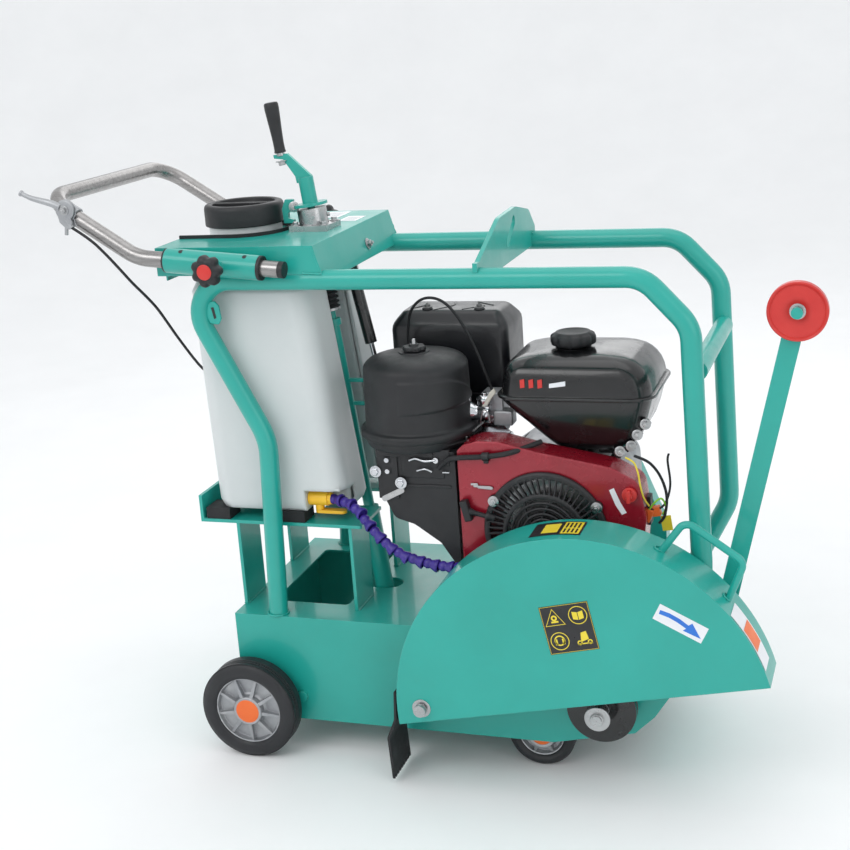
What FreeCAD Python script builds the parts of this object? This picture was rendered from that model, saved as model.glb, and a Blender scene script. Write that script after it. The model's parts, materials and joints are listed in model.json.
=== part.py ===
import FreeCAD, Part
import math
import os

# Walk-behind concrete saw.  X forward, Y to the operator's left, Z up, millimetres, ground at Z = 0.
# Every height is measured from the ground and every X from just behind the rear face of the base box.

V = FreeCAD.Vector
doc = FreeCAD.newDocument("ConcreteSaw")
sheet = doc.addObject("Spreadsheet::Sheet", "Dims")

DIMENSIONS = [
    ("base_rear", 11, "rear face of the base box"),
    ("base_front", 812, "front face of the base box"),
    ("base_low", 54, "lower edge of the base box"),
    ("base_top", 253, "upper face of the base box"),
    ("base_width", 385, "width of the base box"),
    ("base_sheet", 4, "sheet thickness of the base box"),
    ("tube_dia", 34, "outside diameter of the frame tube"),
    ("tube_wall", 2.5, "wall of the frame tube"),
    ("tube_pitch", 354, "distance between the two frame tubes"),
    ("tube_height", 859.5, "height of the top run of the frame tube"),
    ("box_top", 919, "top of the control box"),
    ("box_low", 857, "lower edge of the control box"),
    ("box_width", 380, "width of the control box"),
    ("box_sheet", 3, "sheet thickness of the control box"),
    ("handle_dia", 28, "diameter of the telescopic handle tube"),
    ("handle_offset", 212, "distance of each handle arm from the middle"),
    ("sleeve_dia", 42, "outside diameter of the handle sleeve"),
    ("tank_low", 437, "underside of the water tank"),
    ("tank_top", 850, "shoulder of the water tank"),
    ("tank_width", 296, "width of the water tank"),
    ("neck_dia", 130, "diameter of the tank neck"),
    ("cap_dia", 142, "diameter of the tank cap"),
    ("rear_wheel_dia", 180, "rear wheel diameter"),
    ("rear_wheel_width", 48, "rear wheel width"),
    ("front_wheel_dia", 118, "front wheel diameter"),
    ("front_wheel_width", 46, "front wheel width"),
    ("axle_dia", 20, "wheel axle diameter"),
    ("crank_x", 585, "engine crankshaft position"),
    ("crank_z", 422, "engine crankshaft height"),
    ("shaft_x", 687, "blade shaft position"),
    ("shaft_z", 149, "blade shaft height"),
    ("shaft_dia", 35, "blade shaft diameter"),
    ("flange_dia", 115, "blade flange diameter"),
    ("pulley_dia", 100, "pulley diameter"),
    ("guard_radius", 314.5, "outer radius of the blade guard"),
    ("guard_depth", 91, "depth of the blade guard"),
    ("guard_sheet", 3, "sheet thickness of the blade guard"),
    ("recoil_dia", 210, "diameter of the recoil starter cover"),
    ("cleaner_dia", 186, "diameter of the air cleaner cover"),
    ("pointer_dia", 92, "diameter of the pointer wheel"),
    ("pointer_bar", 30, "width of the pointer arm"),
    ("screw_dia", 14, "diameter of the depth screw"),
    ("hose_dia", 23, "diameter of the jointed water hose"),
]
for row, (alias, value, note) in enumerate(DIMENSIONS, start=1):
    sheet.set("A%d" % row, note)
    sheet.set("B%d" % row, str(value))
    sheet.setAlias("B%d" % row, alias)
doc.recompute()


def dim(alias):
    return float(getattr(sheet, alias))


NODES = []


# ---------------------------------------------------------------- sketch helpers

def corner_arc(before, corner, after, radius):
    """Tangent points and middle of the arc that rounds one corner."""
    to_before = (before - corner).normalize()
    to_after = (after - corner).normalize()
    half = to_before.getAngle(to_after) / 2.0
    reach = radius / math.tan(half)
    start = corner + to_before * reach
    end = corner + to_after * reach
    bisector = (to_before + to_after).normalize()
    centre = corner + bisector * (radius / math.sin(half))
    return start, centre - bisector * radius, end


def rounded_edges(points, radii, closed):
    """Lines and tangent arcs through points, each corner with its own radius."""
    count = len(points)
    spans = []
    for i in range(count):
        if not closed and i in (0, count - 1):
            spans.append((points[i], None, points[i]))
        elif radii[i] <= 0:
            spans.append((points[i], None, points[i]))
        else:
            before = points[i - 1]
            after = points[(i + 1) % count]
            spans.append(corner_arc(before, points[i], after, radii[i]))
    edges = []
    for i in range(count):
        start, middle, end = spans[i]
        if middle is not None:
            edges.append(Part.Arc(start, middle, end))
        if closed or i < count - 1:
            following = spans[(i + 1) % count][0]
            if (following - end).Length > 1e-4:
                edges.append(Part.LineSegment(end, following))
    return edges


def flat(points):
    return [V(x, y, 0) for x, y in points]


def poly(points, radius=0.0):
    radii = radius if isinstance(radius, list) else [radius] * len(points)
    return rounded_edges(flat(points), radii, True)


def rect(x0, y0, x1, y1, radius=0.0):
    return poly([(x0, y0), (x1, y0), (x1, y1), (x0, y1)], radius)


def circle(x, y, radius):
    return [Part.Circle(V(x, y, 0), V(0, 0, 1), radius)]


def stadium(xa, ya, xb, yb, radius):
    a = V(xa, ya, 0)
    b = V(xb, yb, 0)
    along = (b - a).normalize()
    side = V(-along.y, along.x, 0) * radius
    return [
        Part.LineSegment(a + side, b + side),
        Part.Arc(b + side, b + along * radius, b - side),
        Part.LineSegment(b - side, a - side),
        Part.Arc(a - side, a - along * radius, a + side),
    ]


def segment(cx, cz, radius, xa, za, xb, zb):
    """Chord from a to b closed by the arc over the top of a circle."""
    a = V(xa, za, 0)
    b = V(xb, zb, 0)
    centre = V(cx, cz, 0)
    up = V(-(b - a).y, (b - a).x, 0).normalize()
    crown = centre + up * radius
    a = centre + (a - centre).normalize() * radius
    b = centre + (b - centre).normalize() * radius
    return [Part.LineSegment(a, b), Part.Arc(b, crown, a)]


def add_sketch(body, plane, offset, loops):
    sketch = body.newObject("Sketcher::SketchObject", body.Name + "_sketch")
    role = plane + "_Plane"
    support = [item for item in body.Origin.OriginFeatures if item.Role == role][0]
    sketch.AttachmentSupport = [(support, "")]
    sketch.MapMode = "FlatFace"
    sign = -1.0 if plane == "XZ" else 1.0
    sketch.AttachmentOffset = FreeCAD.Placement(V(0, 0, sign * offset), FreeCAD.Rotation())
    for loop in loops:
        for edge in loop:
            sketch.addGeometry(edge, False)
    return sketch


def set_length(feature, prop, value):
    if isinstance(value, str):
        feature.setExpression(prop, value)
    else:
        setattr(feature, prop, value)


def new_body(name, move=(0, 0, 0)):
    body = doc.addObject("PartDesign::Body", name)
    body.Label = name
    body.Placement = FreeCAD.Placement(V(*move), FreeCAD.Rotation())
    NODES.append(body)
    return body


def pad(body, plane, offset, loops, length, reverse=False):
    """Material from the sketch plane: XZ grows to -Y, XY to +Z, YZ to +X unless reversed."""
    feature = body.newObject("PartDesign::Pad", body.Name + "_pad")
    feature.Profile = add_sketch(body, plane, offset, loops)
    set_length(feature, "Length", length)
    feature.Reversed = reverse
    return feature


def pocket(body, plane, offset, loops, length, reverse=False):
    """Cut from the sketch plane: XZ cuts to +Y, XY to -Z, YZ to -X unless reversed."""
    feature = body.newObject("PartDesign::Pocket", body.Name + "_pocket")
    feature.Profile = add_sketch(body, plane, offset, loops)
    set_length(feature, "Length", length)
    feature.Reversed = reverse
    return feature


def turned(name, profile, move, plane="YZ", axis="H_Axis", body=None):
    """Body of revolution: profile in (along axis, radius) pairs, turned round the local Y axis."""
    if body is None:
        body = new_body(name, move)
    feature = body.newObject("PartDesign::Revolution", name + "_turn")
    sketch = add_sketch(body, plane, 0, [poly(profile)])
    feature.Profile = sketch
    feature.ReferenceAxis = (sketch, [axis])
    feature.Angle = 360
    return body


def pipe(body, plane, offset, points, bends, outer, inner):
    """Round tube along a flat path; outer and inner are radii."""
    spine = add_sketch(body, plane, offset, [rounded_edges(flat(points), bends, False)])
    doc.recompute()
    to_space = spine.Placement
    start = to_space.multVec(V(points[0][0], points[0][1], 0))
    second = to_space.multVec(V(points[1][0], points[1][1], 0))
    profile = body.newObject("Sketcher::SketchObject", body.Name + "_section")
    turn = FreeCAD.Rotation(V(0, 0, 1), second - start)
    profile.Placement = FreeCAD.Placement(start, turn)
    profile.addGeometry(Part.Circle(V(0, 0, 0), V(0, 0, 1), outer), False)
    if inner > 0:
        profile.addGeometry(Part.Circle(V(0, 0, 0), V(0, 0, 1), inner), False)
    feature = body.newObject("PartDesign::AdditivePipe", body.Name + "_pipe")
    feature.Profile = profile
    feature.Spine = (spine, ["Edge%d" % (i + 1) for i in range(len(spine.Geometry))])
    return feature


def loft(body, sections, kind="Additive"):
    """Loft through rounded rectangles: (x0, y0, x1, y1, corner, z); Subtractive makes a cavity."""
    sketches = []
    for x0, y0, x1, y1, corner, z in sections:
        sketches.append(add_sketch(body, "XY", z, [rect(x0, y0, x1, y1, corner)]))
    feature = body.newObject("PartDesign::%sLoft" % kind, body.Name + "_loft")
    feature.Profile = sketches[0]
    feature.Sections = sketches[1:]
    feature.Ruled = True
    return feature


def shrink(sections, wall):
    """Sections of the cavity inside a loft, one wall thickness in on every side."""
    inner = []
    for x0, y0, x1, y1, corner, z in sections:
        inner.append([x0 + wall, y0 + wall, x1 - wall, y1 - wall, corner - wall, z])
    inner[0][5] += wall
    inner[-1][5] -= wall
    return inner


# ---------------------------------------------------------------- code-set shapes

def space_wire(points, bends):
    edges = rounded_edges([V(*p) for p in points], bends, False)
    return Part.Wire([edge.toShape() for edge in edges])


def swept(points, bends, radius):
    wire = space_wire(points, bends)
    start = V(*points[0])
    profile = Part.Wire(Part.makeCircle(radius, start, V(*points[1]) - start))
    return wire.makePipeShell([profile], True, False)


def add_shape(name, shape, move=(0, 0, 0)):
    feature = doc.addObject("Part::Feature", name)
    feature.Label = name
    feature.Shape = shape
    feature.Placement = FreeCAD.Placement(V(*move), FreeCAD.Rotation())
    NODES.append(feature)
    return feature


def box_between(x0, y0, z0, x1, y1, z1):
    return Part.makeBox(x1 - x0, y1 - y0, z1 - z0, V(x0, y0, z0))


def rod_between(start, end, radius):
    a = V(*start)
    b = V(*end)
    return Part.makeCylinder(radius, (b - a).Length, a, b - a)


def spread(points, step):
    """Evenly spaced points on a Catmull-Rom curve through the route points."""
    dense = []
    padded = [points[0]] + points + [points[-1]]
    for i in range(1, len(padded) - 2):
        p0, p1, p2, p3 = [V(*p) for p in padded[i - 1:i + 3]]
        for k in range(40):
            t = k / 40.0
            dense.append(
                (p1 * 2 + (p2 - p0) * t + (p0 * 2 - p1 * 5 + p2 * 4 - p3) * t ** 2
                 + (p1 * 3 - p0 - p2 * 3 + p3) * t ** 3) * 0.5
            )
    dense.append(V(*points[-1]))
    lengths = [0.0]
    for a, b in zip(dense, dense[1:]):
        lengths.append(lengths[-1] + (b - a).Length)
    count = max(2, int(round(lengths[-1] / step)))
    route = []
    for k in range(count + 1):
        want = lengths[-1] * k / count
        j = max(i for i in range(len(lengths)) if lengths[i] <= want + 1e-9)
        j = min(j, len(dense) - 2)
        part = (want - lengths[j]) / max(lengths[j + 1] - lengths[j], 1e-9)
        spot = dense[j] + (dense[j + 1] - dense[j]) * part
        route.append((spot.x, spot.y, spot.z))
    return route


def cord(name, points, step, diameter):
    """Cord of straight runs and tangent arcs; prints its length and tightest bend."""
    route = spread(points, step)
    bends = [0.0]
    for before, here, after in zip(route, route[1:], route[2:]):
        u = V(*here) - V(*before)
        w = V(*after) - V(*here)
        turn = max(u.getAngle(w), 0.002)
        bends.append(0.45 * min(u.Length, w.Length) / math.tan(turn / 2.0))
    bends.append(0.0)
    shape = swept(route, bends, diameter / 2.0)
    length = space_wire(route, bends).Length
    section = math.pi * diameter ** 2 / 4.0
    print("%s length %.0f tightest bend %.0f volume ratio %.3f" % (
        name, length, min(bends[1:-1]), shape.Volume / (section * length)))
    return add_shape(name, shape)


# ---------------------------------------------------------------- derived positions

half_base = dim("base_width") / 2.0
sheet_t = dim("base_sheet")
half_pitch = dim("tube_pitch") / 2.0
tube_r = dim("tube_dia") / 2.0
tube_in = tube_r - dim("tube_wall")
base_top = dim("base_top")
crank = (dim("crank_x"), dim("crank_z"))
shaft = (dim("shaft_x"), dim("shaft_z"))
shaft_r = dim("shaft_dia") / 2.0
pulley_r = dim("pulley_dia") / 2.0
rear_axle = (44.8, dim("rear_wheel_dia") / 2.0)
front_axle = (566.0, dim("front_wheel_dia") / 2.0)
carriage = (130.0, 100.0)
guard_pivot = (391.0, 149.0)
pointer_pivot = (848.5, 170.0)
pointer_tip = (995.5, 802.6)
neck = (26.0, -15.0)
rod_y = -15.0
rod_foot = V(247.0, rod_y, 150.0)
rod_axis = V(175.0 - 247.0, 0.0, 784.0 - 150.0).normalize()
gas_top = (200.0, 19.0, 884.0)
gas_low = (250.0, 19.0, 625.0)


def on_rod(height):
    """Point of the depth screw axis at a height above ground."""
    return rod_foot + rod_axis * ((height - rod_foot.z) / rod_axis.z)


# ---------------------------------------------------------------- base box

base = new_body("base_frame")
base_profile = [
    (dim("base_rear"), dim("base_low")), (590, dim("base_low")), (732, 85), (766, 118), (792, 157),
    (dim("base_front"), 200), (dim("base_front"), base_top), (dim("base_rear"), base_top),
]
pad(base, "XZ", half_base, [poly(base_profile)], "Dims.base_width")
hollow_profile = [
    (15, 30), (728, 30), (728, 88.6), (762.6, 122), (788.2, 159), (808, 201),
    (808, base_top - sheet_t), (15, base_top - sheet_t),
]
pocket(base, "XZ", -half_base + sheet_t, [poly(hollow_profile)], "Dims.base_width - 2*Dims.base_sheet")
for side in (-1, 1):
    low, high = sorted((side * 62.0, side * 90.0))
    rail = rect(470, low, 716, high)
    pad(base, "XY", base_top, [rail], 36.5)
lug = poly([(806, 240), (860, 186), (864, 160), (848, 154), (804, 186)], [0, 6, 10, 10, 0])
for edge_y in (-137.0, -156.0):
    pad(base, "XZ", edge_y, [lug], 7)
pocket(base, "XY", base_top, [
    rect(60, -125, 205, 133, 8),
    stadium(222, -12, 246, -12, 25),
    stadium(600, 140, 698, 140, 17),
], 6)
pocket(base, "XZ", -half_base - 1, [circle(shaft[0], shaft[1], 30)], 8)
pocket(base, "XZ", -half_base - 1, [
    circle(rear_axle[0], rear_axle[1], dim("axle_dia") / 2.0),
    circle(carriage[0], carriage[1], dim("axle_dia") / 2.0 + 0.05),
], "Dims.base_width + 2")
pocket(base, "XZ", -half_base - 1, [circle(guard_pivot[0], guard_pivot[1], 6)], 8)
pocket(base, "XZ", -164, [circle(pointer_pivot[0], pointer_pivot[1], 5)], 30)

# ---------------------------------------------------------------- tubular frame

frame_path = [
    (90.5, 236), (104, 578), (-36, dim("tube_height")), (764, dim("tube_height")),
    (836.5, 781), (847, 375), (767, 219),
]
frame_bends = [0, 110, 60, 60, 60, 80, 0]
for name, side in (("frame_tube_right", -1), ("frame_tube_left", 1)):
    tube = new_body(name)
    pipe(tube, "XZ", side * half_pitch, frame_path, frame_bends, tube_r, tube_in)
    pocket(tube, "XY", base_top, [rect(0, side * half_pitch - 40, 900, side * half_pitch + 40)], 80)

brace = new_body("front_cross_brace")
pad(brace, "XZ", 156, [circle(843, 706, 16), circle(843, 706, 13.5)], 312)
for side in (-1, 1):
    pad(brace, "XZ", side * 158 + 2, [circle(843, 706, 16)], 4)

plate = new_body("lifting_plate")
pad(plate, "YZ", 496, [poly([
    (-190, 851), (190, 851), (190, 884), (150, 920), (62, 938), (-42, 935), (-176, 886), (-190, 886),
], [0, 0, 10, 30, 40, 60, 0, 0])], 8)
pocket(plate, "YZ", 506, [stadium(4, 886, 46, 916, 9)], 12)
for side in (-1, 1):
    low, high = sorted((side * 177, side * 200))
    pocket(plate, "YZ", 506, [rect(low, 840, high, 864)], 12)
    pocket(plate, "YZ", 506, [circle(side * half_pitch, dim("tube_height"), tube_r + 0.02)], 12)

# ---------------------------------------------------------------- control box

box = new_body("control_box")
half_box = dim("box_width") / 2.0
box_top = dim("box_top")
box_low = dim("box_low")
pad(box, "XZ", half_box, [poly([(-66, box_low), (241, box_low), (224, box_top), (-66, box_top)])],
    "Dims.box_width")
pocket(box, "XZ", -half_box + 3, [poly([
    (-63, box_low - 5), (239.2, box_low - 5), (221.4, box_top - 3), (-63, box_top - 3)])],
    "Dims.box_width - 2*Dims.box_sheet")
opening = poly([(-80, neck[1] - 86), (112, neck[1] - 86), (112, neck[1] + 86), (-80, neck[1] + 86)],
               [0, 80, 80, 0])
pocket(box, "XY", box_top + 1, [opening], 6)
pocket(box, "YZ", -70, [rect(neck[1] - 86, box_low - 2, neck[1] + 86, box_top + 2)], 10, True)
for side in (-1, 1):
    pocket(box, "YZ", 260, [circle(side * half_pitch, dim("tube_height"), tube_r + 0.02)], 330)
screw_top = on_rod(box_top)
pocket(box, "XY", box_top + 1, [circle(screw_top.x, rod_y, 20)], 6)

trim = new_body("opening_trim")
outer_trim = [(-64, neck[1] - 86), (112, neck[1] - 86), (112, neck[1] + 86), (-64, neck[1] + 86),
              (-64, neck[1] + 82), (108, neck[1] + 82), (108, neck[1] - 82), (-64, neck[1] - 82)]
pad(trim, "XY", box_top - 5, [poly(outer_trim, [0, 80, 80, 0, 0, 76, 76, 0])], 11)

# ---------------------------------------------------------------- handle, sleeves, knobs

handle_y = dim("handle_offset")
slope = math.tan(math.radians(5.1))
sleeve_r = dim("sleeve_dia") / 2.0
handle_r = dim("handle_dia") / 2.0


def sleeve_z(x):
    return 893.1 - slope * (x - 68.0)


def sleeve_shape(side):
    y = side * handle_y
    start = (-31, y, sleeve_z(-31))
    end = (137, y, sleeve_z(137))
    shape = rod_between(start, end, sleeve_r)
    boss = rod_between((68, y, sleeve_z(68)), (68, side * 243, sleeve_z(68)), 11)
    web = box_between(-20, min(side * 190, side * 204), sleeve_z(50) - 8, 125,
                      max(side * 190, side * 204), sleeve_z(50) + 8)
    bore = rod_between((-40, y, sleeve_z(-40)), (150, y, sleeve_z(150)), handle_r + 0.4)
    thread = rod_between((68, y, sleeve_z(68)), (68, side * 250, sleeve_z(68)), 4.05)
    return shape.fuse([boss, web]).cut([bore, thread])


add_shape("handle_sleeves", Part.makeCompound([sleeve_shape(-1), sleeve_shape(1)]))

handle_path = []
for side in (-1, 1):
    arm = [(172, side * handle_y, sleeve_z(172)), (-88, side * handle_y, sleeve_z(-88)),
           (-250, side * handle_y, 1012.0)]
    handle_path += arm if side < 0 else arm[::-1]
handle_bends = [0, 90, 55, 55, 90, 0]
handle = swept(handle_path, handle_bends, handle_r).cut(swept(handle_path, handle_bends, handle_r - 1.8))
add_shape("handlebar", handle)

plugs = []
for side in (-1, 1):
    a = V(172, side * handle_y, sleeve_z(172))
    along = V(1, 0, -slope).normalize()
    cap = Part.makeCylinder(handle_r, 9, a + along * 0.1, along)
    plugs.append(cap)
add_shape("handle_plugs", Part.makeCompound(plugs))

for name, side in (("clamp_knob_right", -1), ("clamp_knob_left", 1)):
    knob = new_body(name, (68, side * 246, sleeve_z(68)))
    lobes = []
    for k in range(6):
        lobes.append(circle(17 * math.cos(math.radians(60 * k)), 17 * math.sin(math.radians(60 * k)), 8))
    grow = side > 0
    pad(knob, "XZ", side * 12, [circle(0, 0, 20)], 22, grow)
    for lobe in lobes:
        pad(knob, "XZ", side * 12, [lobe], 20, grow)
    pad(knob, "XZ", 0, [circle(0, 0, 9)], 12.5, grow)
    pad(knob, "XZ", side * -18, [circle(0, 0, 4)], 19, grow)

throttle = new_body("throttle_lever")
pad(throttle, "XZ", -handle_y - handle_r - 1.5, [
    poly([(-228, 972), (-204, 984), (-192, 1000), (-202, 1006), (-288, 1030), (-292, 1022), (-228, 996)],
         [8, 6, 6, 6, 3, 3, 8])], 6)

# ---------------------------------------------------------------- water tank and its cradle

tank = new_body("water_tank")
half_tank = dim("tank_width") / 2.0
tank_low = dim("tank_low")
tank_top = dim("tank_top")
tank_sections = [
    (-22, -half_tank + 6, 222, half_tank - 6, 30, tank_low),
    (-28, -half_tank, 228, half_tank, 36, tank_low + 14),
    (-40, -half_tank, 182, half_tank, 36, tank_top - 18),
    (-30, -half_tank + 12, 172, half_tank - 12, 26, tank_top),
]
groove_low = on_rod(tank_low).x - 24
groove_top = on_rod(tank_top).x - 24
loft(tank, tank_sections)
loft(tank, shrink(tank_sections, 5), "Subtractive")
pad(tank, "XZ", 51, [poly([
    (groove_low - 5, tank_low + 2), (218, tank_low + 2), (176, tank_top - 22),
    (160, tank_top - 2), (groove_top - 5, tank_top - 2)])], 104)
pad(tank, "XZ", -90, [rect(145, tank_low + 2, 216, 481)], 54)
pad(tank, "XY", tank_top - 1, [circle(neck[0], neck[1], dim("neck_dia") / 2.0)], 96)
pocket(tank, "XZ", -48, [poly([
    (groove_low, tank_low - 2), (260, tank_low - 2), (260, tank_top + 2), (groove_top, tank_top + 2)])], 94)
pocket(tank, "XZ", -160, [rect(150, tank_low - 2, 240, 476, 0)], 64)
pocket(tank, "XY", tank_top + 96, [circle(neck[0], neck[1], dim("neck_dia") / 2.0 - 5)], 110)

cap = new_body("tank_cap", (neck[0], neck[1], 0))
cap_r = dim("cap_dia") / 2.0
cap_turn = cap.newObject("PartDesign::Revolution", "cap_turn")
cap_sketch = add_sketch(cap, "XZ", 0, [poly([
    (0, 946), (cap_r - 5.6, 946), (cap_r - 5.6, 932), (cap_r, 932), (cap_r, 966), (cap_r - 4, 970),
    (cap_r - 16, 970), (cap_r - 19, 960), (0, 960)])])
cap_turn.Profile = cap_sketch
cap_turn.ReferenceAxis = (cap_sketch, ["V_Axis"])
cap_turn.Angle = 360
pad(cap, "XY", 959, [rect(-cap_r + 17, -7, cap_r - 17, 7)], 10)

strap = new_body("tank_strap")
strap_w = half_tank + 3.5
pad(strap, "XY", 778, [poly([
    (10, -strap_w), (-44, -strap_w), (-44, strap_w), (10, strap_w),
    (10, strap_w - 2.5), (-41.5, strap_w - 2.5), (-41.5, -strap_w + 2.5), (10, -strap_w + 2.5),
], [0, 38, 38, 0, 0, 35.5, 35.5, 0])], 26)

cradle = new_body("tank_cradle")
tray_z = 410.0
pad(cradle, "XY", tray_z, [rect(-58, -150, 253, 150, 4), rect(55, -95, 150, 95, 10)], 6)
pad(cradle, "XY", tray_z, [rect(-58, -150, -52, 150)], 50)
for x in (6, 227):
    for low, high in ((-148, -66), (66, 148)):
        foot = max(x, 11)
        pad(cradle, "XY", base_top, [rect(foot, low, foot + 6, high)], tray_z - base_top + 1)
pocket(cradle, "XY", tray_z + 8, [rect(186, -46, 260, 49)], 12)

pads = []
for x in (-46, 100):
    for low, high in ((-148, -104), (104, 148)):
        pads.append(box_between(x, low, tray_z + 6, x + 46, high, tank_low - 0.3))
add_shape("tank_pads", Part.makeCompound(pads))

tap = rod_between((150.4, -125, 456), (186, -125, 456), 13)
tap = tap.fuse([rod_between((168, -125, 458), (168, -125, 436), 8)])
add_shape("valve_body", tap)
tap_lever = new_body("valve_lever")
pad(tap_lever, "XY", 430, [stadium(168, -125, 210, -125, 8)], 5.5)

cord("water_hose", [
    (189.5, -125, 456), (208, -128, 458), (240, -148, 453), (273, -168, 428), (321, -176, 384), (370, -180, 368),
    (424, -184, 361), (470, -186, 366), (520, -187, 352), (556, -187, 320),
], 44, dim("hose_dia"))

# ---------------------------------------------------------------- depth control

axis_turn = FreeCAD.Rotation(V(0, 0, 1), rod_axis)


def on_axis(shape):
    """Move a shape drawn round +Z (z = distance along the screw) onto the screw axis."""
    shape.Placement = FreeCAD.Placement(rod_foot, axis_turn)
    return shape


def along(height):
    return (on_rod(height) - rod_foot).Length


housing_body = Part.makeCylinder(26, along(956) - along(924), V(0, 0, along(924)))
housing = box_between(screw_top.x - 35, rod_y - 35, box_top, screw_top.x + 35, rod_y + 35, box_top + 10)
housing = housing.fuse(on_axis(housing_body))
screw_hole = Part.makeCylinder(dim("screw_dia") / 2.0 + 0.05, 80, V(0, 0, along(905)))
add_shape("crank_housing", housing.cut(on_axis(screw_hole)))

latch = new_body("crank_latch")
pad(latch, "XZ", rod_y + 4, [poly([
    (103, 930), (122, 930), (122, 936), (112, 939), (112, 948), (123, 955), (123, 972), (108, 972), (101, 955),
], 2)], 8)

crank_parts = [
    Part.makeCylinder(dim("screw_dia") / 2.0, along(966) - along(690), V(0, 0, along(690))),
    Part.makeCylinder(30, 5, V(0, 0, along(960))),
    Part.makeCylinder(13.5, along(1010) - along(960), V(0, 0, along(960))),
]
crank_solid = on_axis(crank_parts[0]).fuse([on_axis(part) for part in crank_parts[1:]])
arm_face = Part.Face(Part.Wire([e.toShape() for e in rounded_edges([
    V(134, rod_y - 4, 1000), V(163, rod_y - 4, 1000), V(161, rod_y - 4, 1013), V(120, rod_y - 4, 1052),
    V(94, rod_y - 4, 1050), V(95, rod_y - 4, 1044), V(112, rod_y - 4, 1042), V(132, rod_y - 4, 1012)],
    [0] * 8, True)]))
arm_solid = arm_face.extrude(V(0, 8, 0))
add_shape("depth_crank", crank_solid.fuse(arm_solid))

grip_foot = V(106.4, rod_y, 1053.5)
grip = Part.makeCone(10.5, 14.5, 88, grip_foot, rod_axis)
add_shape("crank_grip", grip)

rod_parts = [
    Part.makeCylinder(17, along(404) + 20, V(0, 0, -20)),
    Part.makeCylinder(10, along(752) - along(400), V(0, 0, along(400))),
    Part.makeCylinder(14, 12, V(0, 0, along(745))),
]
rod_solid = on_axis(rod_parts[0]).fuse([on_axis(part) for part in rod_parts[1:]])
rod_solid = rod_solid.fuse([
    box_between(190, rod_y - 4, 598, 256, rod_y + 4, 604),
    box_between(190, rod_y - 4, 641, 256, rod_y + 4, 647),
    box_between(244, rod_y - 4, 598, 256, rod_y + 4, 647),
    rod_between((gas_low[0], rod_y, gas_low[2]), (gas_low[0], gas_low[1] + 9, gas_low[2]), 4),
])
rod_bore = Part.makeCylinder(dim("screw_dia") / 2.0 + 0.3, 200, V(0, 0, along(640)))
# The eye is a slot: the carriage pin swings on an arc while the rod slides straight.
slot_z = rod_foot.z - 0.4
eye_slot = rod_between((rod_foot.x - 6, -60, slot_z), (rod_foot.x - 6, 40, slot_z), 6.6).fuse([
    rod_between((rod_foot.x + 7, -60, slot_z), (rod_foot.x + 7, 40, slot_z), 6.6),
    box_between(rod_foot.x - 6, -60, slot_z - 6.6, rod_foot.x + 7, 40, slot_z + 6.6)])
add_shape("depth_rod", rod_solid.cut([on_axis(rod_bore), eye_slot]))

boot_rings = []
for k in range(8):
    boot_rings.append(Part.makeCone(15, 18, 7, V(0, 0, along(776) + 14 * k)))
    boot_rings.append(Part.makeCone(18, 15, 7, V(0, 0, along(776) + 14 * k + 7)))
boot = on_axis(boot_rings[0]).fuse([on_axis(part) for part in boot_rings[1:]])
boot_bore = Part.makeCylinder(13, 160, V(0, 0, along(760)))
add_shape("screw_boot", boot.cut(on_axis(boot_bore)))

gas_line = V(*gas_low) - V(*gas_top)
gas_dir = V(gas_line.x, gas_line.y, gas_line.z).normalize()
gas_a = V(*gas_top)
gas_b = V(*gas_low)
cylinder = Part.makeCylinder(11, 172, gas_a + gas_dir * 10, gas_dir)
eye_top = Part.makeCylinder(9, 12, gas_a - V(0, 6, 0), V(0, 1, 0))
stem = Part.makeCylinder(7, 14, gas_a, gas_dir)
pin_bore = Part.makeCylinder(4.1, 40, gas_a - V(0, 20, 0), V(0, 1, 0))
rod_cavity = Part.makeCylinder(4.55, 150, gas_a + gas_dir * 40, gas_dir)
add_shape("gas_spring_cylinder", cylinder.fuse([eye_top, stem]).cut([pin_bore, rod_cavity]))
gas_stem = Part.makeCylinder(4.5, gas_line.Length - 90, gas_a + gas_dir * 86, gas_dir)
eye_low = Part.makeCylinder(9, 12, gas_b - V(0, 6, 0), V(0, 1, 0))
low_bore = Part.makeCylinder(4.7, 40, gas_b - V(0, 20, 0), V(0, 1, 0))
add_shape("gas_spring_rod", gas_stem.fuse(eye_low).cut(low_bore))

# ---------------------------------------------------------------- running gear

axle_r = dim("axle_dia") / 2.0
under = new_body("front_carriage")
pad(under, "XZ", half_base + 6, [circle(carriage[0], carriage[1], axle_r)], 2 * half_base + 12)
pad(under, "XZ", 120, [circle(carriage[0], carriage[1], 20)], 240)
for y in (130, -118):
    pad(under, "XZ", y, [stadium(carriage[0], carriage[1], front_axle[0], front_axle[1], 18)], 12)
pad(under, "XZ", 183, [circle(front_axle[0], front_axle[1], 8)], 366)
pad(under, "XZ", 120, [circle(247, 92, 11)], 240)
for y in (15, -33):
    pad(under, "XZ", y, [stadium(247, 92, rod_foot.x, rod_foot.z, 11)], 12)
pad(under, "XZ", 14, [circle(rod_foot.x, rod_foot.z, 6)], 58)

axle = new_body("rear_axle")
pad(axle, "XZ", 252, [circle(rear_axle[0], rear_axle[1], axle_r)], 504)


def wheel(name, centre, y, radius, width, bore):
    half = width / 2.0
    rim = radius * 0.72
    hub = radius * 0.26
    body = turned(name, [
        (-half, bore), (-half, hub), (-half + 8, hub + 1), (-half + 8, rim - 4), (-half, rim),
        (-half, radius - 4), (-half + 4, radius), (half - 4, radius), (half, radius - 4),
        (half, rim), (half - 8, rim - 4), (half - 8, hub + 1), (half, hub), (half, bore),
    ], (centre[0], y, centre[1]))
    return body


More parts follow.
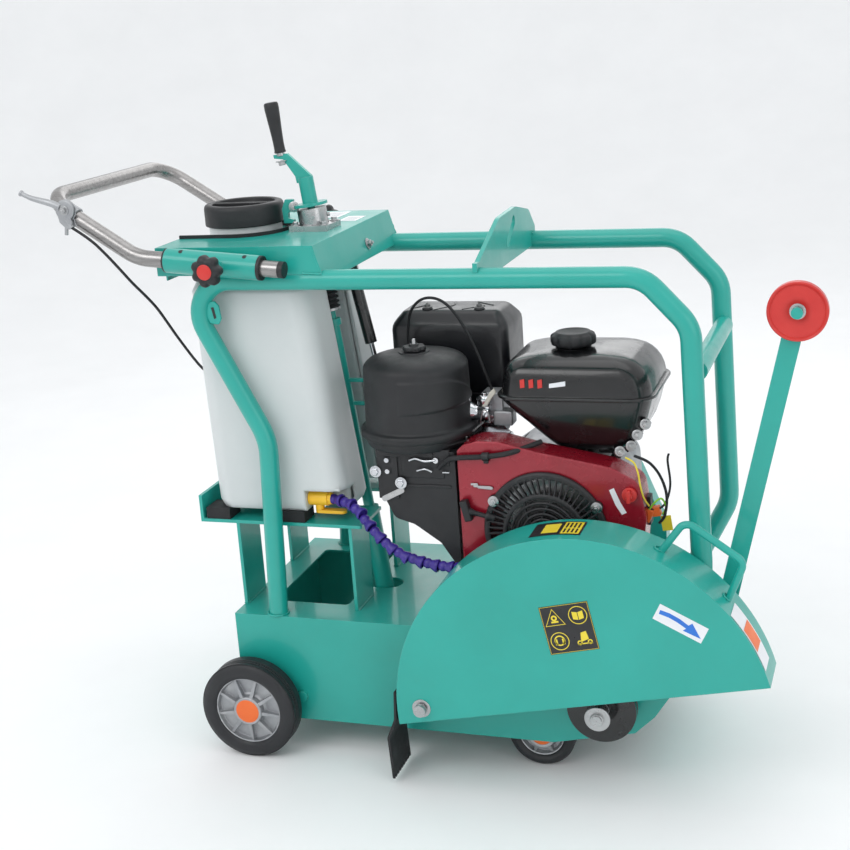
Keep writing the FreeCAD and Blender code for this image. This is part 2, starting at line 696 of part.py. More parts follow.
rear_y = half_base + 7 + dim("rear_wheel_width") / 2.0 + 6
wheel("rear_wheel_right", rear_axle, -rear_y, dim("rear_wheel_dia") / 2.0, dim("rear_wheel_width"), axle_r + 0.05)
wheel("rear_wheel_left", rear_axle, rear_y, dim("rear_wheel_dia") / 2.0, dim("rear_wheel_width"), axle_r + 0.05)
front_y = 159.0
wheel("front_wheel_right", front_axle, -front_y, dim("front_wheel_dia") / 2.0, dim("front_wheel_width"), 8.05)
wheel("front_wheel_left", front_axle, front_y, dim("front_wheel_dia") / 2.0, dim("front_wheel_width"), 8.05)

# ---------------------------------------------------------------- engine

block = new_body("engine_block")
pad(block, "XZ", 112, [poly([
    (480, base_top + 36.5), (706, base_top + 36.5), (706, 320), (698, 500), (655, 534), (520, 534),
    (471, 500), (471, 330)], [0, 0, 8, 30, 30, 20, 20, 20])], 204)
pocket(block, "XZ", -93, [circle(crank[0], crank[1], 13.2)], 206)
pocket(block, "XY", base_top + 48, [rect(492, -80, 686, 100, 10)], 20)
pocket(block, "XY", 520, [rect(492, -80, 686, 100, 10)], 200)

head = new_body("cylinder_head")
pad(head, "XZ", 72, [poly([(470.6, 395), (470.6, 522), (400, 552), (368, 478), (378, 440)],
                          [0, 0, 10, 14, 14])], 120)
for k in range(5):
    base_x = 392 + 15 * k
    pocket(head, "XZ", -49, [rect(base_x, 380, base_x + 6, 420 + 4 * k)], 122)

shroud = new_body("fan_shroud")
pad(shroud, "XZ", -92.5, [poly([
    (437, 322), (437, 560), (448, 570), (472, 577), (508, 577), (575, 561), (636, 550), (700, 538), (744, 514), (754, 452),
    (742, 352), (704, 291), (470, 291)], [20, 6, 10, 16, 30, 40, 40, 30, 24, 40, 30, 20, 20])], 57)
pocket(shroud, "XZ", -146.5, [poly([
    (441, 326), (441, 557), (450, 566), (473, 572), (506, 572), (574, 556), (635, 545), (698, 533), (739, 511), (749, 452),
    (737, 354), (701, 295), (473, 295)], [16, 4, 8, 14, 27, 37, 37, 27, 21, 37, 27, 17, 17])], 60)
pocket(shroud, "XZ", -151, [circle(crank[0], crank[1], 96)], 8)

recoil = new_body("recoil_cover", (crank[0], 0, crank[1]))
recoil_r = dim("recoil_dia") / 2.0
turned("recoil_cover", [
    (-149.8, 92), (-149.8, recoil_r), (-156, recoil_r), (-164, recoil_r - 8), (-168, 40), (-168, 0),
    (-165, 0), (-165, 40), (-161, recoil_r - 11), (-154, 92),
], None, body=recoil)
for ring in range(10):
    angle = math.radians(36 * ring)
    inner = (46 * math.cos(angle), 46 * math.sin(angle))
    outer = (78 * math.cos(angle + 0.25), 78 * math.sin(angle + 0.25))
    pocket(recoil, "XZ", -171, [stadium(inner[0], inner[1], outer[0], outer[1], 5)], 14)

grip_body = new_body("recoil_grip")
pad(grip_body, "XZ", -154, [stadium(452, 470, 460, 440, 7)], 15)
pad(grip_body, "XZ", -158, [stadium(456, 455, 480, 452, 4)], 7)

fuel = new_body("engine_fuel_tank")
fuel_sections = [
    (592, -84, 706, 70, 20, 547),
    (572, -91, 732, 78, 24, 563),
    (556, -104, 742, 88, 28, 580),
    (502, -112, 754, 94, 34, 630),
    (498, -116, 762, 97, 38, 642),
    (502, -114, 758, 94, 36, 664),
    (510, -106, 744, 86, 34, 690),
    (524, -92, 724, 72, 30, 704),
    (548, -70, 700, 52, 24, 710),
]
loft(fuel, fuel_sections)
loft(fuel, shrink(fuel_sections, 2), "Subtractive")
pad(fuel, "XY", 700, [circle(615, -20, 24)], 14)
pocket(fuel, "XY", 715, [circle(615, -20, 21)], 30)
for x in (600, 660):
    pad(fuel, "XY", 534, [rect(x, -60, x + 38, 60)], 16)

fuel_cap = new_body("fuel_cap", (615, -20, 0))
pad(fuel_cap, "XY", 714.2, [circle(0, 0, 38)], 14)
pad(fuel_cap, "XY", 728, [circle(0, 0, 30)], 9)

silencer = new_body("muffler")
silencer_sections = [
    (272, 32, 482, 148, 12, 606),
    (268, 28, 486, 152, 16, 640),
    (268, 28, 486, 152, 16, 732),
    (284, 44, 468, 136, 14, 758),
]
loft(silencer, silencer_sections)
loft(silencer, shrink(silencer_sections, 2), "Subtractive")
pocket(silencer, "XZ", 145, [circle(300, 700, 10)], 12)
pad(silencer, "XY", 553, [rect(392, 32, 440, 64)], 56)

cleaner = (350.0, -80.0)
cleaner_r = dim("cleaner_dia") / 2.0
filter_base = new_body("air_cleaner_base")
pad(filter_base, "XZ", -56, [poly([
    (291, 556), (296, 480), (318, 434), (352, 424), (398, 392), (424, 352), (432, 350), (432, 556)],
    [6, 20, 16, 30, 20, 4, 4, 6])], 92)
pad(filter_base, "XY", 556, [circle(cleaner[0], cleaner[1], 86.5)], 18)
pad(filter_base, "XY", 574, [circle(cleaner[0], cleaner[1], 55)], 128)
pad(filter_base, "XY", 700, [circle(cleaner[0], cleaner[1], 4)], 20)
pocket(filter_base, "XY", 550, [rect(304, -136, 420, -70, 10)], 64, False)

cover = new_body("air_cleaner_cover", (cleaner[0], cleaner[1], 0))
cover_turn = cover.newObject("PartDesign::Revolution", "cover_turn")
cover_sketch = add_sketch(cover, "XZ", 0, [poly([
    (cleaner_r + 3, 574.4), (cleaner_r + 9, 574.4), (cleaner_r + 9, 587), (cleaner_r - 2, 602),
    (cleaner_r - 2, 690), (cleaner_r - 12, 706), (20, 716), (4.2, 716),
    (4.2, 713), (20, 713), (cleaner_r - 14, 703), (cleaner_r - 5, 688), (cleaner_r - 5, 600)])])
cover_turn.Profile = cover_sketch
cover_turn.ReferenceAxis = (cover_sketch, ["V_Axis"])
cover_turn.Angle = 360

nut = new_body("wing_nut", (cleaner[0], cleaner[1], 0))
pad(nut, "XY", 716.4, [circle(0, 0, 9), circle(0, 0, 4.1)], 8)
for side in (-1, 1):
    low, high = sorted((side * 7, side * 20))
    pad(nut, "XY", 718, [rect(low, -2.5, high, 2.5)], 10)

carb = new_body("carburettor")
pad(carb, "XZ", -6, [poly([(454, 575), (494, 575), (494, 634), (454, 634)], 6)], 44)
pad(carb, "XY", 538.5, [rect(456, -46, 480, -10)], 38)

choke = new_body("choke_lever")
pad(choke, "XZ", -148.6, [stadium(302, 470, 334, 486, 5)], 4)

switch = new_body("engine_switch")
pad(switch, "XZ", -150, [circle(728, 494, 13)], 6)
pad(switch, "XZ", -155, [rect(724, 482, 732, 506)], 7)

power = new_body("crankshaft", (crank[0], 0, crank[1]))
turned("crankshaft", [
    (152, 0), (152, 44), (146, 49), (142, 44), (139.5, 44), (136, 49), (130, 44), (127, 44), (127, 13),
    (-96, 13), (-96, 84), (-118, 84), (-118, 20), (-144, 20), (-144, 0),
], None, body=power)

spindle = new_body("blade_shaft", (shaft[0], 0, shaft[1]))
flange_r = dim("flange_dia") / 2.0
turned("blade_shaft", [
    (152, 0), (152, 44), (146, 49), (142, 44), (139.5, 44), (136, 49), (130, 44), (127, 44), (127, shaft_r),
    (-205, shaft_r), (-228, 24), (-232, flange_r), (-242, flange_r), (-242, 12.7), (-272, 12.7),
    (-272, 9), (-284, 9), (-284, 0),
], None, body=spindle)

bearings = []
for y in (95, -150):
    seat = Part.makeCylinder(40, 36, V(shaft[0], y - 18, shaft[1]), V(0, 1, 0))
    stand = box_between(shaft[0] - 30, y - 18, shaft[1], shaft[0] + 30, y + 18, base_top - sheet_t)
    foot = box_between(shaft[0] - 62, y - 18, base_top - sheet_t - 14, shaft[0] + 62, y + 18,
                       base_top - sheet_t)
    bore = Part.makeCylinder(shaft_r + 0.05, 60, V(shaft[0], y - 30, shaft[1]), V(0, 1, 0))
    bearings.append(seat.fuse([stand, foot]).cut(bore).removeSplitter())
add_shape("bearing_blocks", Part.makeCompound(bearings))

belts = []
for y in (133.0, 144.0):
    outer_wire = Part.Wire([e.toShape() for e in stadium(crank[0], crank[1], shaft[0], shaft[1], 57.0)])
    inner_wire = Part.Wire([e.toShape() for e in stadium(crank[0], crank[1], shaft[0], shaft[1], 50.0)])
    band = Part.Face(outer_wire).cut(Part.Face(inner_wire)).extrude(V(0, 0, 8))
    band.Placement = FreeCAD.Placement(V(0, y + 4, 0), FreeCAD.Rotation(V(1, 0, 0), 90))
    belts.append(band)
add_shape("drive_belts", Part.makeCompound(belts))

belt_guard = new_body("belt_guard")
guard_outline = [(545, base_top), (505, 405), (530, 494), (662, 494), (694, 448), (740, 335), (740, base_top)]
guard_inside = [(548, base_top - 4), (508, 405), (532, 491), (660, 491), (691, 447), (737, 334),
                (737, base_top - 4)]
pad(belt_guard, "XZ", 158, [poly(guard_outline, [0, 40, 30, 24, 40, 30, 0])], 38)
pocket(belt_guard, "XZ", 122.5, [poly(guard_inside, [0, 38, 27, 21, 38, 28, 0])], 33)
pocket(belt_guard, "XZ", 118, [circle(crank[0], crank[1], 20)], 6)

# ---------------------------------------------------------------- blade guard

guard = new_body("blade_guard")
centre = (661.8, 151.6)
guard_r = dim("guard_radius")
skin = dim("guard_sheet")
guard_back = -200.0
chord = (349.6, 115.0, 964.7, 237.0)
pad(guard, "XZ", guard_back, [segment(centre[0], centre[1], guard_r, *chord)], "Dims.guard_depth")
inner = guard_r - skin
tilt = math.atan2(chord[3] - chord[1], chord[2] - chord[0])
low_a = math.pi + tilt + 0.35
low_b = tilt - 0.35
pocket(guard, "XZ", guard_back - dim("guard_depth") + skin, [segment(
    centre[0], centre[1], inner,
    centre[0] + inner * math.cos(low_a), centre[1] + inner * math.sin(low_a),
    centre[0] + inner * math.cos(low_b), centre[1] + inner * math.sin(low_b))],
    "Dims.guard_depth - Dims.guard_sheet + 1")
ear = poly([(352, 140), (364, 128), (420, 132), (420, 175), (398, 250), (385, 292), (354, 205)],
           [0, 6, 14, 14, 10, 0, 0])
pad(guard, "XZ", guard_back, [ear], 3)
pad(guard, "XZ", guard_back, [circle(guard_pivot[0], guard_pivot[1], 12)], 90)
pocket(guard, "XZ", -295, [circle(guard_pivot[0], guard_pivot[1], 6.1)], 100)
pipe(guard, "XZ", -245, [(791, 432), (832, 488), (922, 424), (894, 356)], [0, 16, 16, 0], 6, 0)

flap = new_body("splash_flap")
pad(flap, "XZ", -202, [poly([
    (341.5, 172), (345.5, 172), (343, 120), (328, 84), (332, 8), (327.5, 8), (323.5, 85), (338.5, 121),
], [0, 0, 20, 20, 0, 0, 20, 20])], 86)
for k in range(8):
    top = -208 - 10.5 * k
    pocket(flap, "XZ", top - 3.5, [rect(318, 0, 340, 16)], 3.5)

# ---------------------------------------------------------------- pointer

arm = new_body("pointer_arm")
pad(arm, "XZ", -146, [stadium(pointer_pivot[0], pointer_pivot[1], pointer_tip[0], pointer_tip[1],
                              dim("pointer_bar") / 2.0)], 8)
pocket(arm, "XZ", -155, [circle(pointer_pivot[0], pointer_pivot[1], 5.05)], 12)
pad(arm, "XZ", -146, [circle(pointer_tip[0], pointer_tip[1], 5)], 36)
pad(arm, "XZ", -173, [circle(pointer_tip[0], pointer_tip[1], 9)], 9)
target = new_body("pointer_wheel", (pointer_tip[0], 0, pointer_tip[1]))
turned("pointer_wheel", [
    (-155, 5.1), (-155, 16), (-157, dim("pointer_dia") / 2.0 - 2), (-159, dim("pointer_dia") / 2.0),
    (-167, dim("pointer_dia") / 2.0), (-169, dim("pointer_dia") / 2.0 - 2), (-172, 16), (-172, 5.1),
], None, body=target)

# ---------------------------------------------------------------- cable and fasteners

cord("throttle_cable", [
    (-196, -231.5, 964), (-168, -231.5, 948), (-130, -231.5, 910), (-106, -220, 872), (-90, -165, 812),
    (-78, -110, 735),
    (-72, -30, 655), (-62, 60, 618), (-52, 140, 600), (20, 155, 588), (120, 155, 588), (215, 148, 588),
    (264, 104, 574), (300, 46, 576), (305, 17, 640), (308, 10, 710), (324, -10, 772), (362, -22, 799),
    (402, -26, 782), (438, -30, 722), (458, -30, 668), (470, -30, 634.5),
], 36, 5)

bolts = [
    rod_between((guard_pivot[0], -305, guard_pivot[1]), (guard_pivot[0], -180, guard_pivot[1]), 6),
    rod_between((pointer_pivot[0], -168, pointer_pivot[1]), (pointer_pivot[0], -134, pointer_pivot[1]), 5),
    rod_between((gas_top[0], 0, gas_top[2]), (gas_top[0], 34, gas_top[2]), 4),
]
bolts[0] = bolts[0].fuse([
    rod_between((guard_pivot[0], -305, guard_pivot[1]), (guard_pivot[0], -296, guard_pivot[1]), 10.5),
    rod_between((guard_pivot[0], -199.5, guard_pivot[1]), (guard_pivot[0], -half_base, guard_pivot[1]), 12),
    rod_between((guard_pivot[0], -188.5, guard_pivot[1]), (guard_pivot[0], -180, guard_pivot[1]), 10.5),
])
bolts[2] = bolts[2].fuse([box_between(gas_top[0] - 12, 31, gas_top[2] - 14, gas_top[0] + 12, 35, box_top - 3)])
add_shape("pivot_bolts", Part.makeCompound(bolts))

# ---------------------------------------------------------------- check and write

doc.recompute()
bad_nodes = []
for item in doc.Objects:
    if "Invalid" in item.State or "Error" in item.State:
        bad_nodes.append(item.Name)
for node in NODES:
    if node.Shape.isNull() or not node.Shape.isValid() or not node.Shape.Solids:
        bad_nodes.append(node.Label)
if bad_nodes:
    raise RuntimeError("failed objects: " + ", ".join(bad_nodes))

# The row's origin is on the ground under the middle of the whole machine.
whole = FreeCAD.BoundBox()
for node in NODES:
    whole.add(node.Shape.optimalBoundingBox(False, False))
shift = V(-(whole.XMin + whole.XMax) / 2.0, -(whole.YMin + whole.YMax) / 2.0, -whole.ZMin)
print("shift %.4f %.4f %.4f" % (shift.x, shift.y, shift.z))
for node in NODES:
    node.Placement = FreeCAD.Placement(shift + node.Placement.Base, node.Placement.Rotation)
doc.recompute()

os.makedirs("parts", exist_ok=True)
for node in NODES:
    node.Shape.exportStep("parts/%s.step" % node.Label)
    print("%-20s solids %d  volume %.0f cm3" % (node.Label, len(node.Shape.Solids), node.Shape.Volume / 1000.0))
print(len(NODES), "nodes")
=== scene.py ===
"""Looks of the walk-behind concrete saw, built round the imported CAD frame.

Sizes are millimetres in the machine's own frame (X forward, Y to the operator's left, Z up, ground at 0);
at() turns them into the row frame.
"""
import json
import math
import random

import bmesh
import bpy
from mathutils import Matrix, Vector


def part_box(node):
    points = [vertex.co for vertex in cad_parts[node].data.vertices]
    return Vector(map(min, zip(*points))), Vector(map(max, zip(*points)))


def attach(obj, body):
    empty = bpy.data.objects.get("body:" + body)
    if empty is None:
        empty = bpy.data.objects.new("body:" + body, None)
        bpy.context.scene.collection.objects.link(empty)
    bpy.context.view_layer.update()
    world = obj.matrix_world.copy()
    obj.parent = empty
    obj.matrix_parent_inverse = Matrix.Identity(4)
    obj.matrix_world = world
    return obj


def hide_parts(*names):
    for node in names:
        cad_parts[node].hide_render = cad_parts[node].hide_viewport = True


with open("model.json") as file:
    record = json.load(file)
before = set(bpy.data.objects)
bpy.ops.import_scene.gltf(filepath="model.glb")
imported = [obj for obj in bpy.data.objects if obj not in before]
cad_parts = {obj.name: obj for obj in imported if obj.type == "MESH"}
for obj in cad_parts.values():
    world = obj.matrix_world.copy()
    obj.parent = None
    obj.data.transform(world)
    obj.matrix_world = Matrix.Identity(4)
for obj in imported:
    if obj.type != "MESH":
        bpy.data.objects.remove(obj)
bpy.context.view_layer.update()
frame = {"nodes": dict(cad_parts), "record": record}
NODES = frame["nodes"]

axle_low, axle_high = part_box("rear_axle")
ORIGIN = (axle_low + axle_high) / 2.0 - Vector((0.0448, 0.0, 0.090))
X, Z = Vector((1, 0, 0)), Vector((0, 0, 1))
RIGHT = Vector((0, -1, 0))      # towards the machine's right-hand side
dice = random.Random(7)
bm = bmesh.new()                # the mesh being built; piece() names it and empties it


def at(x, y, z):
    return ORIGIN + Vector((x, y, z)) / 1000.0


# ---------------------------------------------------------------- camera, lights, floor

def make_camera():
    """The view: az 20 deg to the right of square on, 15.7 deg above level, a little rolled."""
    az, el, roll = math.radians(20.013), math.radians(15.654), math.radians(-4.329)
    ahead = Vector((-math.sin(az) * math.cos(el), math.cos(az) * math.cos(el), -math.sin(el)))
    side = Vector((math.cos(az), math.sin(az), 0))
    up = side.cross(ahead)
    right = side * math.cos(roll) + up * math.sin(roll)
    top = up * math.cos(roll) - side * math.sin(roll)
    data = bpy.data.cameras.new("camera")
    data.sensor_width = 36.0
    data.lens = 63.60
    data.shift_x = 0.02777
    data.shift_y = -0.01359
    camera = bpy.data.objects.new("camera", data)
    turn = Matrix((right, top, -ahead)).transposed().to_4x4()
    camera.matrix_world = Matrix.Translation(at(1180.735, -2448.765, 1308.779)) @ turn
    bpy.context.scene.collection.objects.link(camera)
    bpy.context.scene.camera = camera


def make_light(name, place, target, size, power):
    data = bpy.data.lights.new(name, "AREA")
    data.shape = "RECTANGLE"
    data.size, data.size_y = size
    data.energy = power
    lamp = bpy.data.objects.new(name, data)
    lamp.location = Vector(place)
    lamp.rotation_euler = (Vector(target) - Vector(place)).to_track_quat("-Z", "Y").to_euler()
    bpy.context.scene.collection.objects.link(lamp)


def make_studio():
    world = bpy.data.worlds.new("studio")
    world.use_nodes = True
    world.node_tree.nodes["Background"].inputs["Color"].default_value = (0.97, 0.985, 1.0, 1)
    world.node_tree.nodes["Background"].inputs["Strength"].default_value = 0.92
    bpy.context.scene.world = world
    bpy.context.scene.view_settings.view_transform = "Standard"
    make_light("key", (-1.2, -2.6, 2.9), (0, 0, 0.5), (2.2, 1.4), 27)
    make_light("fill", (2.9, -1.9, 1.6), (0.1, 0, 0.4), (1.6, 1.8), 9)
    make_light("top", (0.2, 0.2, 3.4), (0, 0, 0.4), (2.6, 2.2), 14)
    make_light("back", (-0.6, 3.0, 2.2), (0, 0, 0.6), (2.4, 1.6), 14)
    rings = []
    for step in range(30):
        if step < 8:
            radius, height = 0.4 * (step + 1), 0.0
        else:
            turn = math.radians(88) * (step - 7) / 22
            radius, height = 3.2 + 3.4 * math.sin(turn), 3.4 * (1 - math.cos(turn))
        rings.append([bm.verts.new((radius * math.cos(2 * math.pi * k / 96),
            radius * math.sin(2 * math.pi * k / 96), height - 0.0008)) for k in range(96)])
    bm.faces.new(rings[0])
    for inner, outer in zip(rings, rings[1:]):
        for k in range(96):
            n = (k + 1) % 96
            bm.faces.new((inner[k], outer[k], outer[n], inner[n]))
    mesh = bpy.data.meshes.new("floor")
    bm.to_mesh(mesh)
    bm.clear()
    for face in mesh.polygons:
        face.use_smooth = True
    floor = bpy.data.objects.new("floor", mesh)
    bpy.context.scene.collection.objects.link(floor)
    mesh.materials.append(surface("floor", (0.93, 0.935, 0.94), (0.90, 0.905, 0.91), 0.75, grain=3,
        bump=0.0, edge=0))


# ---------------------------------------------------------------- materials

BUMP_DISTANCE = 0.0008


def surface(name, colour, other, rough, metal=0.0, grain=9.0, stretch=(1, 1, 1), fine=600.0, bump=0.06,
        coat=0.0, edge=1.2, edge_rub_and_highlight_colour=None, edge_rub_and_highlight_amount=0.5, rough_spread=0.08, glow=0.0):
    """A procedural finish: slow colour drift, roughness drift, fine bump, softened edges lightened in
    patches, partly as wear and partly as a painted highlight.
    """
    made = bpy.data.materials.new(name)
    made.use_nodes = True
    tree = made.node_tree
    shader = tree.nodes["Principled BSDF"]
    new, link = tree.nodes.new, tree.links.new
    place = new("ShaderNodeTexCoord")
    scaled = new("ShaderNodeMapping")
    scaled.inputs["Scale"].default_value = stretch
    link(place.outputs["Object"], scaled.inputs["Vector"])

    def noise(scale, detail, source=scaled):
        node = new("ShaderNodeTexNoise")
        node.inputs["Scale"].default_value = scale
        node.inputs["Detail"].default_value = detail
        node.inputs["Roughness"].default_value = 0.6
        link(source.outputs["Vector"], node.inputs["Vector"])
        return node.outputs["Fac"]

    def spread(value, low, high, to_low=0.0, to_high=1.0):
        node = new("ShaderNodeMapRange")
        for socket, number in zip(("From Min", "From Max", "To Min", "To Max"), (low, high, to_low, to_high)):
            node.inputs[socket].default_value = number
        link(value, node.inputs["Value"])
        return node.outputs["Result"]

    def blend(factor, first, second):
        node = new("ShaderNodeMix")
        node.data_type = "RGBA"
        link(factor, node.inputs["Factor"])
        for socket, value in ((node.inputs[6], first), (node.inputs[7], second)):
            if isinstance(value, tuple):
                socket.default_value = (*value, 1)
            else:
                link(value, socket)
        return node.outputs[2]

    drift = noise(grain, 5)
    tint = blend(spread(drift, 0.32, 0.68), colour, other)
    shader.inputs["Metallic"].default_value = metal
    link(spread(noise(grain * 3.1, 6), 0.3, 0.7, rough - rough_spread, rough + rough_spread),
        shader.inputs["Roughness"])
    if coat:
        shader.inputs["Coat Weight"].default_value = coat
        shader.inputs["Coat Roughness"].default_value = 0.08
    if glow:
        shader.inputs["Subsurface Weight"].default_value = glow
        shader.inputs["Subsurface Radius"].default_value = (0.02, 0.02, 0.02)
        shader.inputs["Subsurface Scale"].default_value = 1.0
    relief = new("ShaderNodeBump")
    relief.inputs["Strength"].default_value = bump
    relief.inputs["Distance"].default_value = BUMP_DISTANCE
    link(noise(fine, 3), relief.inputs["Height"])
    if edge:
        soft = new("ShaderNodeBevel")
        soft.samples = 6
        soft.inputs["Radius"].default_value = edge / 1000.0
        link(soft.outputs["Normal"], relief.inputs["Normal"])
        # lighten the edges in noise patches towards a lighter tint: partly rubbed paint, partly a painted
        # highlight along the edges
        if edge_rub_and_highlight_colour:
            flat = new("ShaderNodeNewGeometry")
            dot = new("ShaderNodeVectorMath")
            dot.operation = "DOT_PRODUCT"
            link(soft.outputs["Normal"], dot.inputs[0])
            link(flat.outputs["Normal"], dot.inputs[1])
            rim = spread(dot.outputs["Value"], 0.99, 0.86)
            patch = spread(noise(55, 6), 0.42, 0.62, 0.0, edge_rub_and_highlight_amount)
            both = new("ShaderNodeMath")
            both.operation = "MULTIPLY"
            link(rim, both.inputs[0])
            link(patch, both.inputs[1])
            tint = blend(both.outputs["Value"], tint, edge_rub_and_highlight_colour)
    link(relief.outputs["Normal"], shader.inputs["Normal"])
    link(tint, shader.inputs["Base Color"])
    return made


def flat_label(name, colour, other):
    return surface(name, colour, other, 0.35, grain=30, bump=0.03, edge=0)


make_camera()
# the lighter edge tints given below paint partly wear and partly a highlight along each part's edges
GREEN = surface("green_paint", (0.010, 0.34, 0.285), (0.014, 0.39, 0.33), 0.36, coat=0.3, grain=5, fine=900,
    bump=0.12, edge=1.6, edge_rub_and_highlight_colour=(0.22, 0.66, 0.60), edge_rub_and_highlight_amount=0.45)
STEEL = surface("zinc_steel", (0.40, 0.41, 0.42), (0.52, 0.52, 0.52), 0.3, metal=1.0, grain=30, fine=1500,
    bump=0.05, edge=0.5, edge_rub_and_highlight_colour=(0.85, 0.85, 0.85))
STAINLESS = surface("stainless_tube", (0.27, 0.26, 0.255), (0.36, 0.35, 0.345), 0.3, metal=1.0, grain=12,
    stretch=(1, 14, 14), fine=240, bump=0.05, edge=0.6)
CHROME = surface("chrome", (0.55, 0.57, 0.60), (0.66, 0.67, 0.69), 0.12, metal=1.0, grain=18, bump=0.01,
    edge=0.4, rough_spread=0.04)
ALUMINIUM = surface("cast_aluminium", (0.34, 0.35, 0.37), (0.46, 0.47, 0.48), 0.48, metal=0.85, grain=22,
    fine=420, bump=0.35, edge=1.0, edge_rub_and_highlight_colour=(0.75, 0.75, 0.75))
IRON = surface("cast_iron", (0.16, 0.16, 0.165), (0.25, 0.24, 0.235), 0.6, metal=0.6, grain=20, fine=350,
    bump=0.4, edge=1.2)
RUBBER = surface("rubber", (0.010, 0.0105, 0.012), (0.018, 0.0185, 0.021), 0.72, grain=16, fine=500,
    bump=0.3, edge=0.8, edge_rub_and_highlight_colour=(0.11, 0.11, 0.115))
TYRE = surface("tyre_rubber", (0.011, 0.012, 0.015), (0.018, 0.019, 0.022), 0.5, grain=12, fine=380,
    bump=0.22, edge=0.9, edge_rub_and_highlight_colour=(0.10, 0.10, 0.105))
TANK = surface("tank_plastic", (0.60, 0.645, 0.65), (0.66, 0.70, 0.70), 0.38, grain=4, fine=160, bump=0.10,
    edge=11.0, glow=0.35)
BLACK = surface("black_plastic", (0.010, 0.0105, 0.012), (0.016, 0.0165, 0.019), 0.5, grain=14, fine=800,
    bump=0.16, edge=1.4, edge_rub_and_highlight_colour=(0.10, 0.10, 0.11))
GLOSS_BLACK = surface("black_enamel", (0.004, 0.0042, 0.005), (0.007, 0.0072, 0.008), 0.24, coat=0.35,
    grain=7, fine=90, bump=0.02, edge=3.0, edge_rub_and_highlight_colour=(0.05, 0.05, 0.055))
MUFFLER_BLACK = surface("black_heat_paint", (0.006, 0.0065, 0.009), (0.010, 0.0105, 0.013), 0.36, coat=0.2,
    grain=9, fine=500, bump=0.06, edge=3.5, edge_rub_and_highlight_colour=(0.09, 0.09, 0.1))
RED = surface("red_paint", (0.27, 0.006, 0.018), (0.35, 0.010, 0.026), 0.26, coat=0.45, metal=0.25, grain=7,
    fine=1400, bump=0.05, edge=6.0, edge_rub_and_highlight_colour=(0.62, 0.12, 0.15), edge_rub_and_highlight_amount=0.3)
RED_PLASTIC = surface("red_plastic", (0.56, 0.022, 0.020), (0.64, 0.04, 0.032), 0.36, grain=12, fine=700,
    bump=0.08, edge=1.0, edge_rub_and_highlight_colour=(0.8, 0.25, 0.22))
YELLOW = surface("yellow_plastic", (0.85, 0.47, 0.012), (0.92, 0.56, 0.03), 0.36, grain=16, fine=700,
    bump=0.1, edge=0.9, edge_rub_and_highlight_colour=(0.95, 0.72, 0.3))
ORANGE = surface("orange_plastic", (0.80, 0.135, 0.02), (0.88, 0.18, 0.035), 0.42, grain=18, fine=700,
    bump=0.12, edge=0.8, edge_rub_and_highlight_colour=(0.9, 0.4, 0.25))
PURPLE = surface("purple_plastic", (0.034, 0.016, 0.21), (0.055, 0.028, 0.30), 0.32, grain=26, fine=900,
    bump=0.1, edge=0.7, edge_rub_and_highlight_colour=(0.25, 0.2, 0.6))
LABEL_WHITE = flat_label("label_white", (0.78, 0.80, 0.84), (0.84, 0.85, 0.88))
LABEL_BLACK = flat_label("label_black", (0.014, 0.014, 0.016), (0.022, 0.022, 0.025))
LABEL_YELLOW = flat_label("label_yellow", (0.80, 0.62, 0.03), (0.86, 0.70, 0.06))
LABEL_BLUE = flat_label("label_blue", (0.02, 0.16, 0.62), (0.035, 0.2, 0.7))
WIRE_GREEN = surface("green_wire", (0.25, 0.62, 0.04), (0.3, 0.7, 0.06), 0.4, grain=30, bump=0.03, edge=0)

FINISH = {"paint_green": GREEN, "paint_black": GLOSS_BLACK, "paint_red": RED, "steel": STEEL,
    "stainless": STAINLESS, "chrome": CHROME, "aluminium": ALUMINIUM, "cast": IRON, "rubber": RUBBER,
    "tyre": TYRE, "tank_white": TANK, "plastic_black": BLACK, "plastic_red": RED_PLASTIC,
    "plastic_yellow": YELLOW, "hose_purple": PURPLE}
SLOT_OF = {part["node"]: part["material_slot"] for part in frame["record"]["subparts"]}
for node, item in NODES.items():
    item.data.materials.clear()
    item.data.materials.append(FINISH[SLOT_OF[node]])
make_studio()

# ---------------------------------------------------------------- mesh helpers (millimetres, machine frame)

def square_to(axis):
    """Three unit directions, the last along axis."""
    along = Vector(axis).normalized()
    first = along.cross(Z if abs(along.z) < 0.9 else X).normalized()
    return first, along.cross(first), along


def grid(rings, closed=True):
    """Faces between rings of points; a ring of one vertex is a tip."""
    for first, second in zip(rings, rings[1:]):
        count = max(len(first), len(second))
        for k in range(count if closed else count - 1):
            n = (k + 1) % count
            if len(first) == 1:
                bm.faces.new((first[0], second[k], second[n]))
            elif len(second) == 1:
                bm.faces.new((first[k], second[0], first[n]))
            else:
                bm.faces.new((first[k], second[k], second[n], first[n]))


def lathe(profile, centre, axis=Z, seg=48, shape=None, closed=False):
    """Turn (radius, height) pairs round an axis; shape(angle, height) scales the radius."""
    u, v, w = square_to(axis)
    base = at(*centre)
    rings = []
    for radius, height in profile:
        middle = base + w * height / 1000.0
        if radius < 0.001:
            rings.append([bm.verts.new(middle)])
            continue
        ring = []
        for k in range(seg):
            a = 2 * math.pi * k / seg
            size = radius * (shape(a, height) if shape else 1.0) / 1000.0
            ring.append(bm.verts.new(middle + (u * math.cos(a) + v * math.sin(a)) * size))
        rings.append(ring)
    if closed:
        rings.append(rings[0])
    grid(rings)


def puck(radius, low, high, centre, axis, seg):
    """A short plain cylinder."""
    lathe([(0, low), (radius, low), (radius, high), (0, high)], centre, axis, seg)


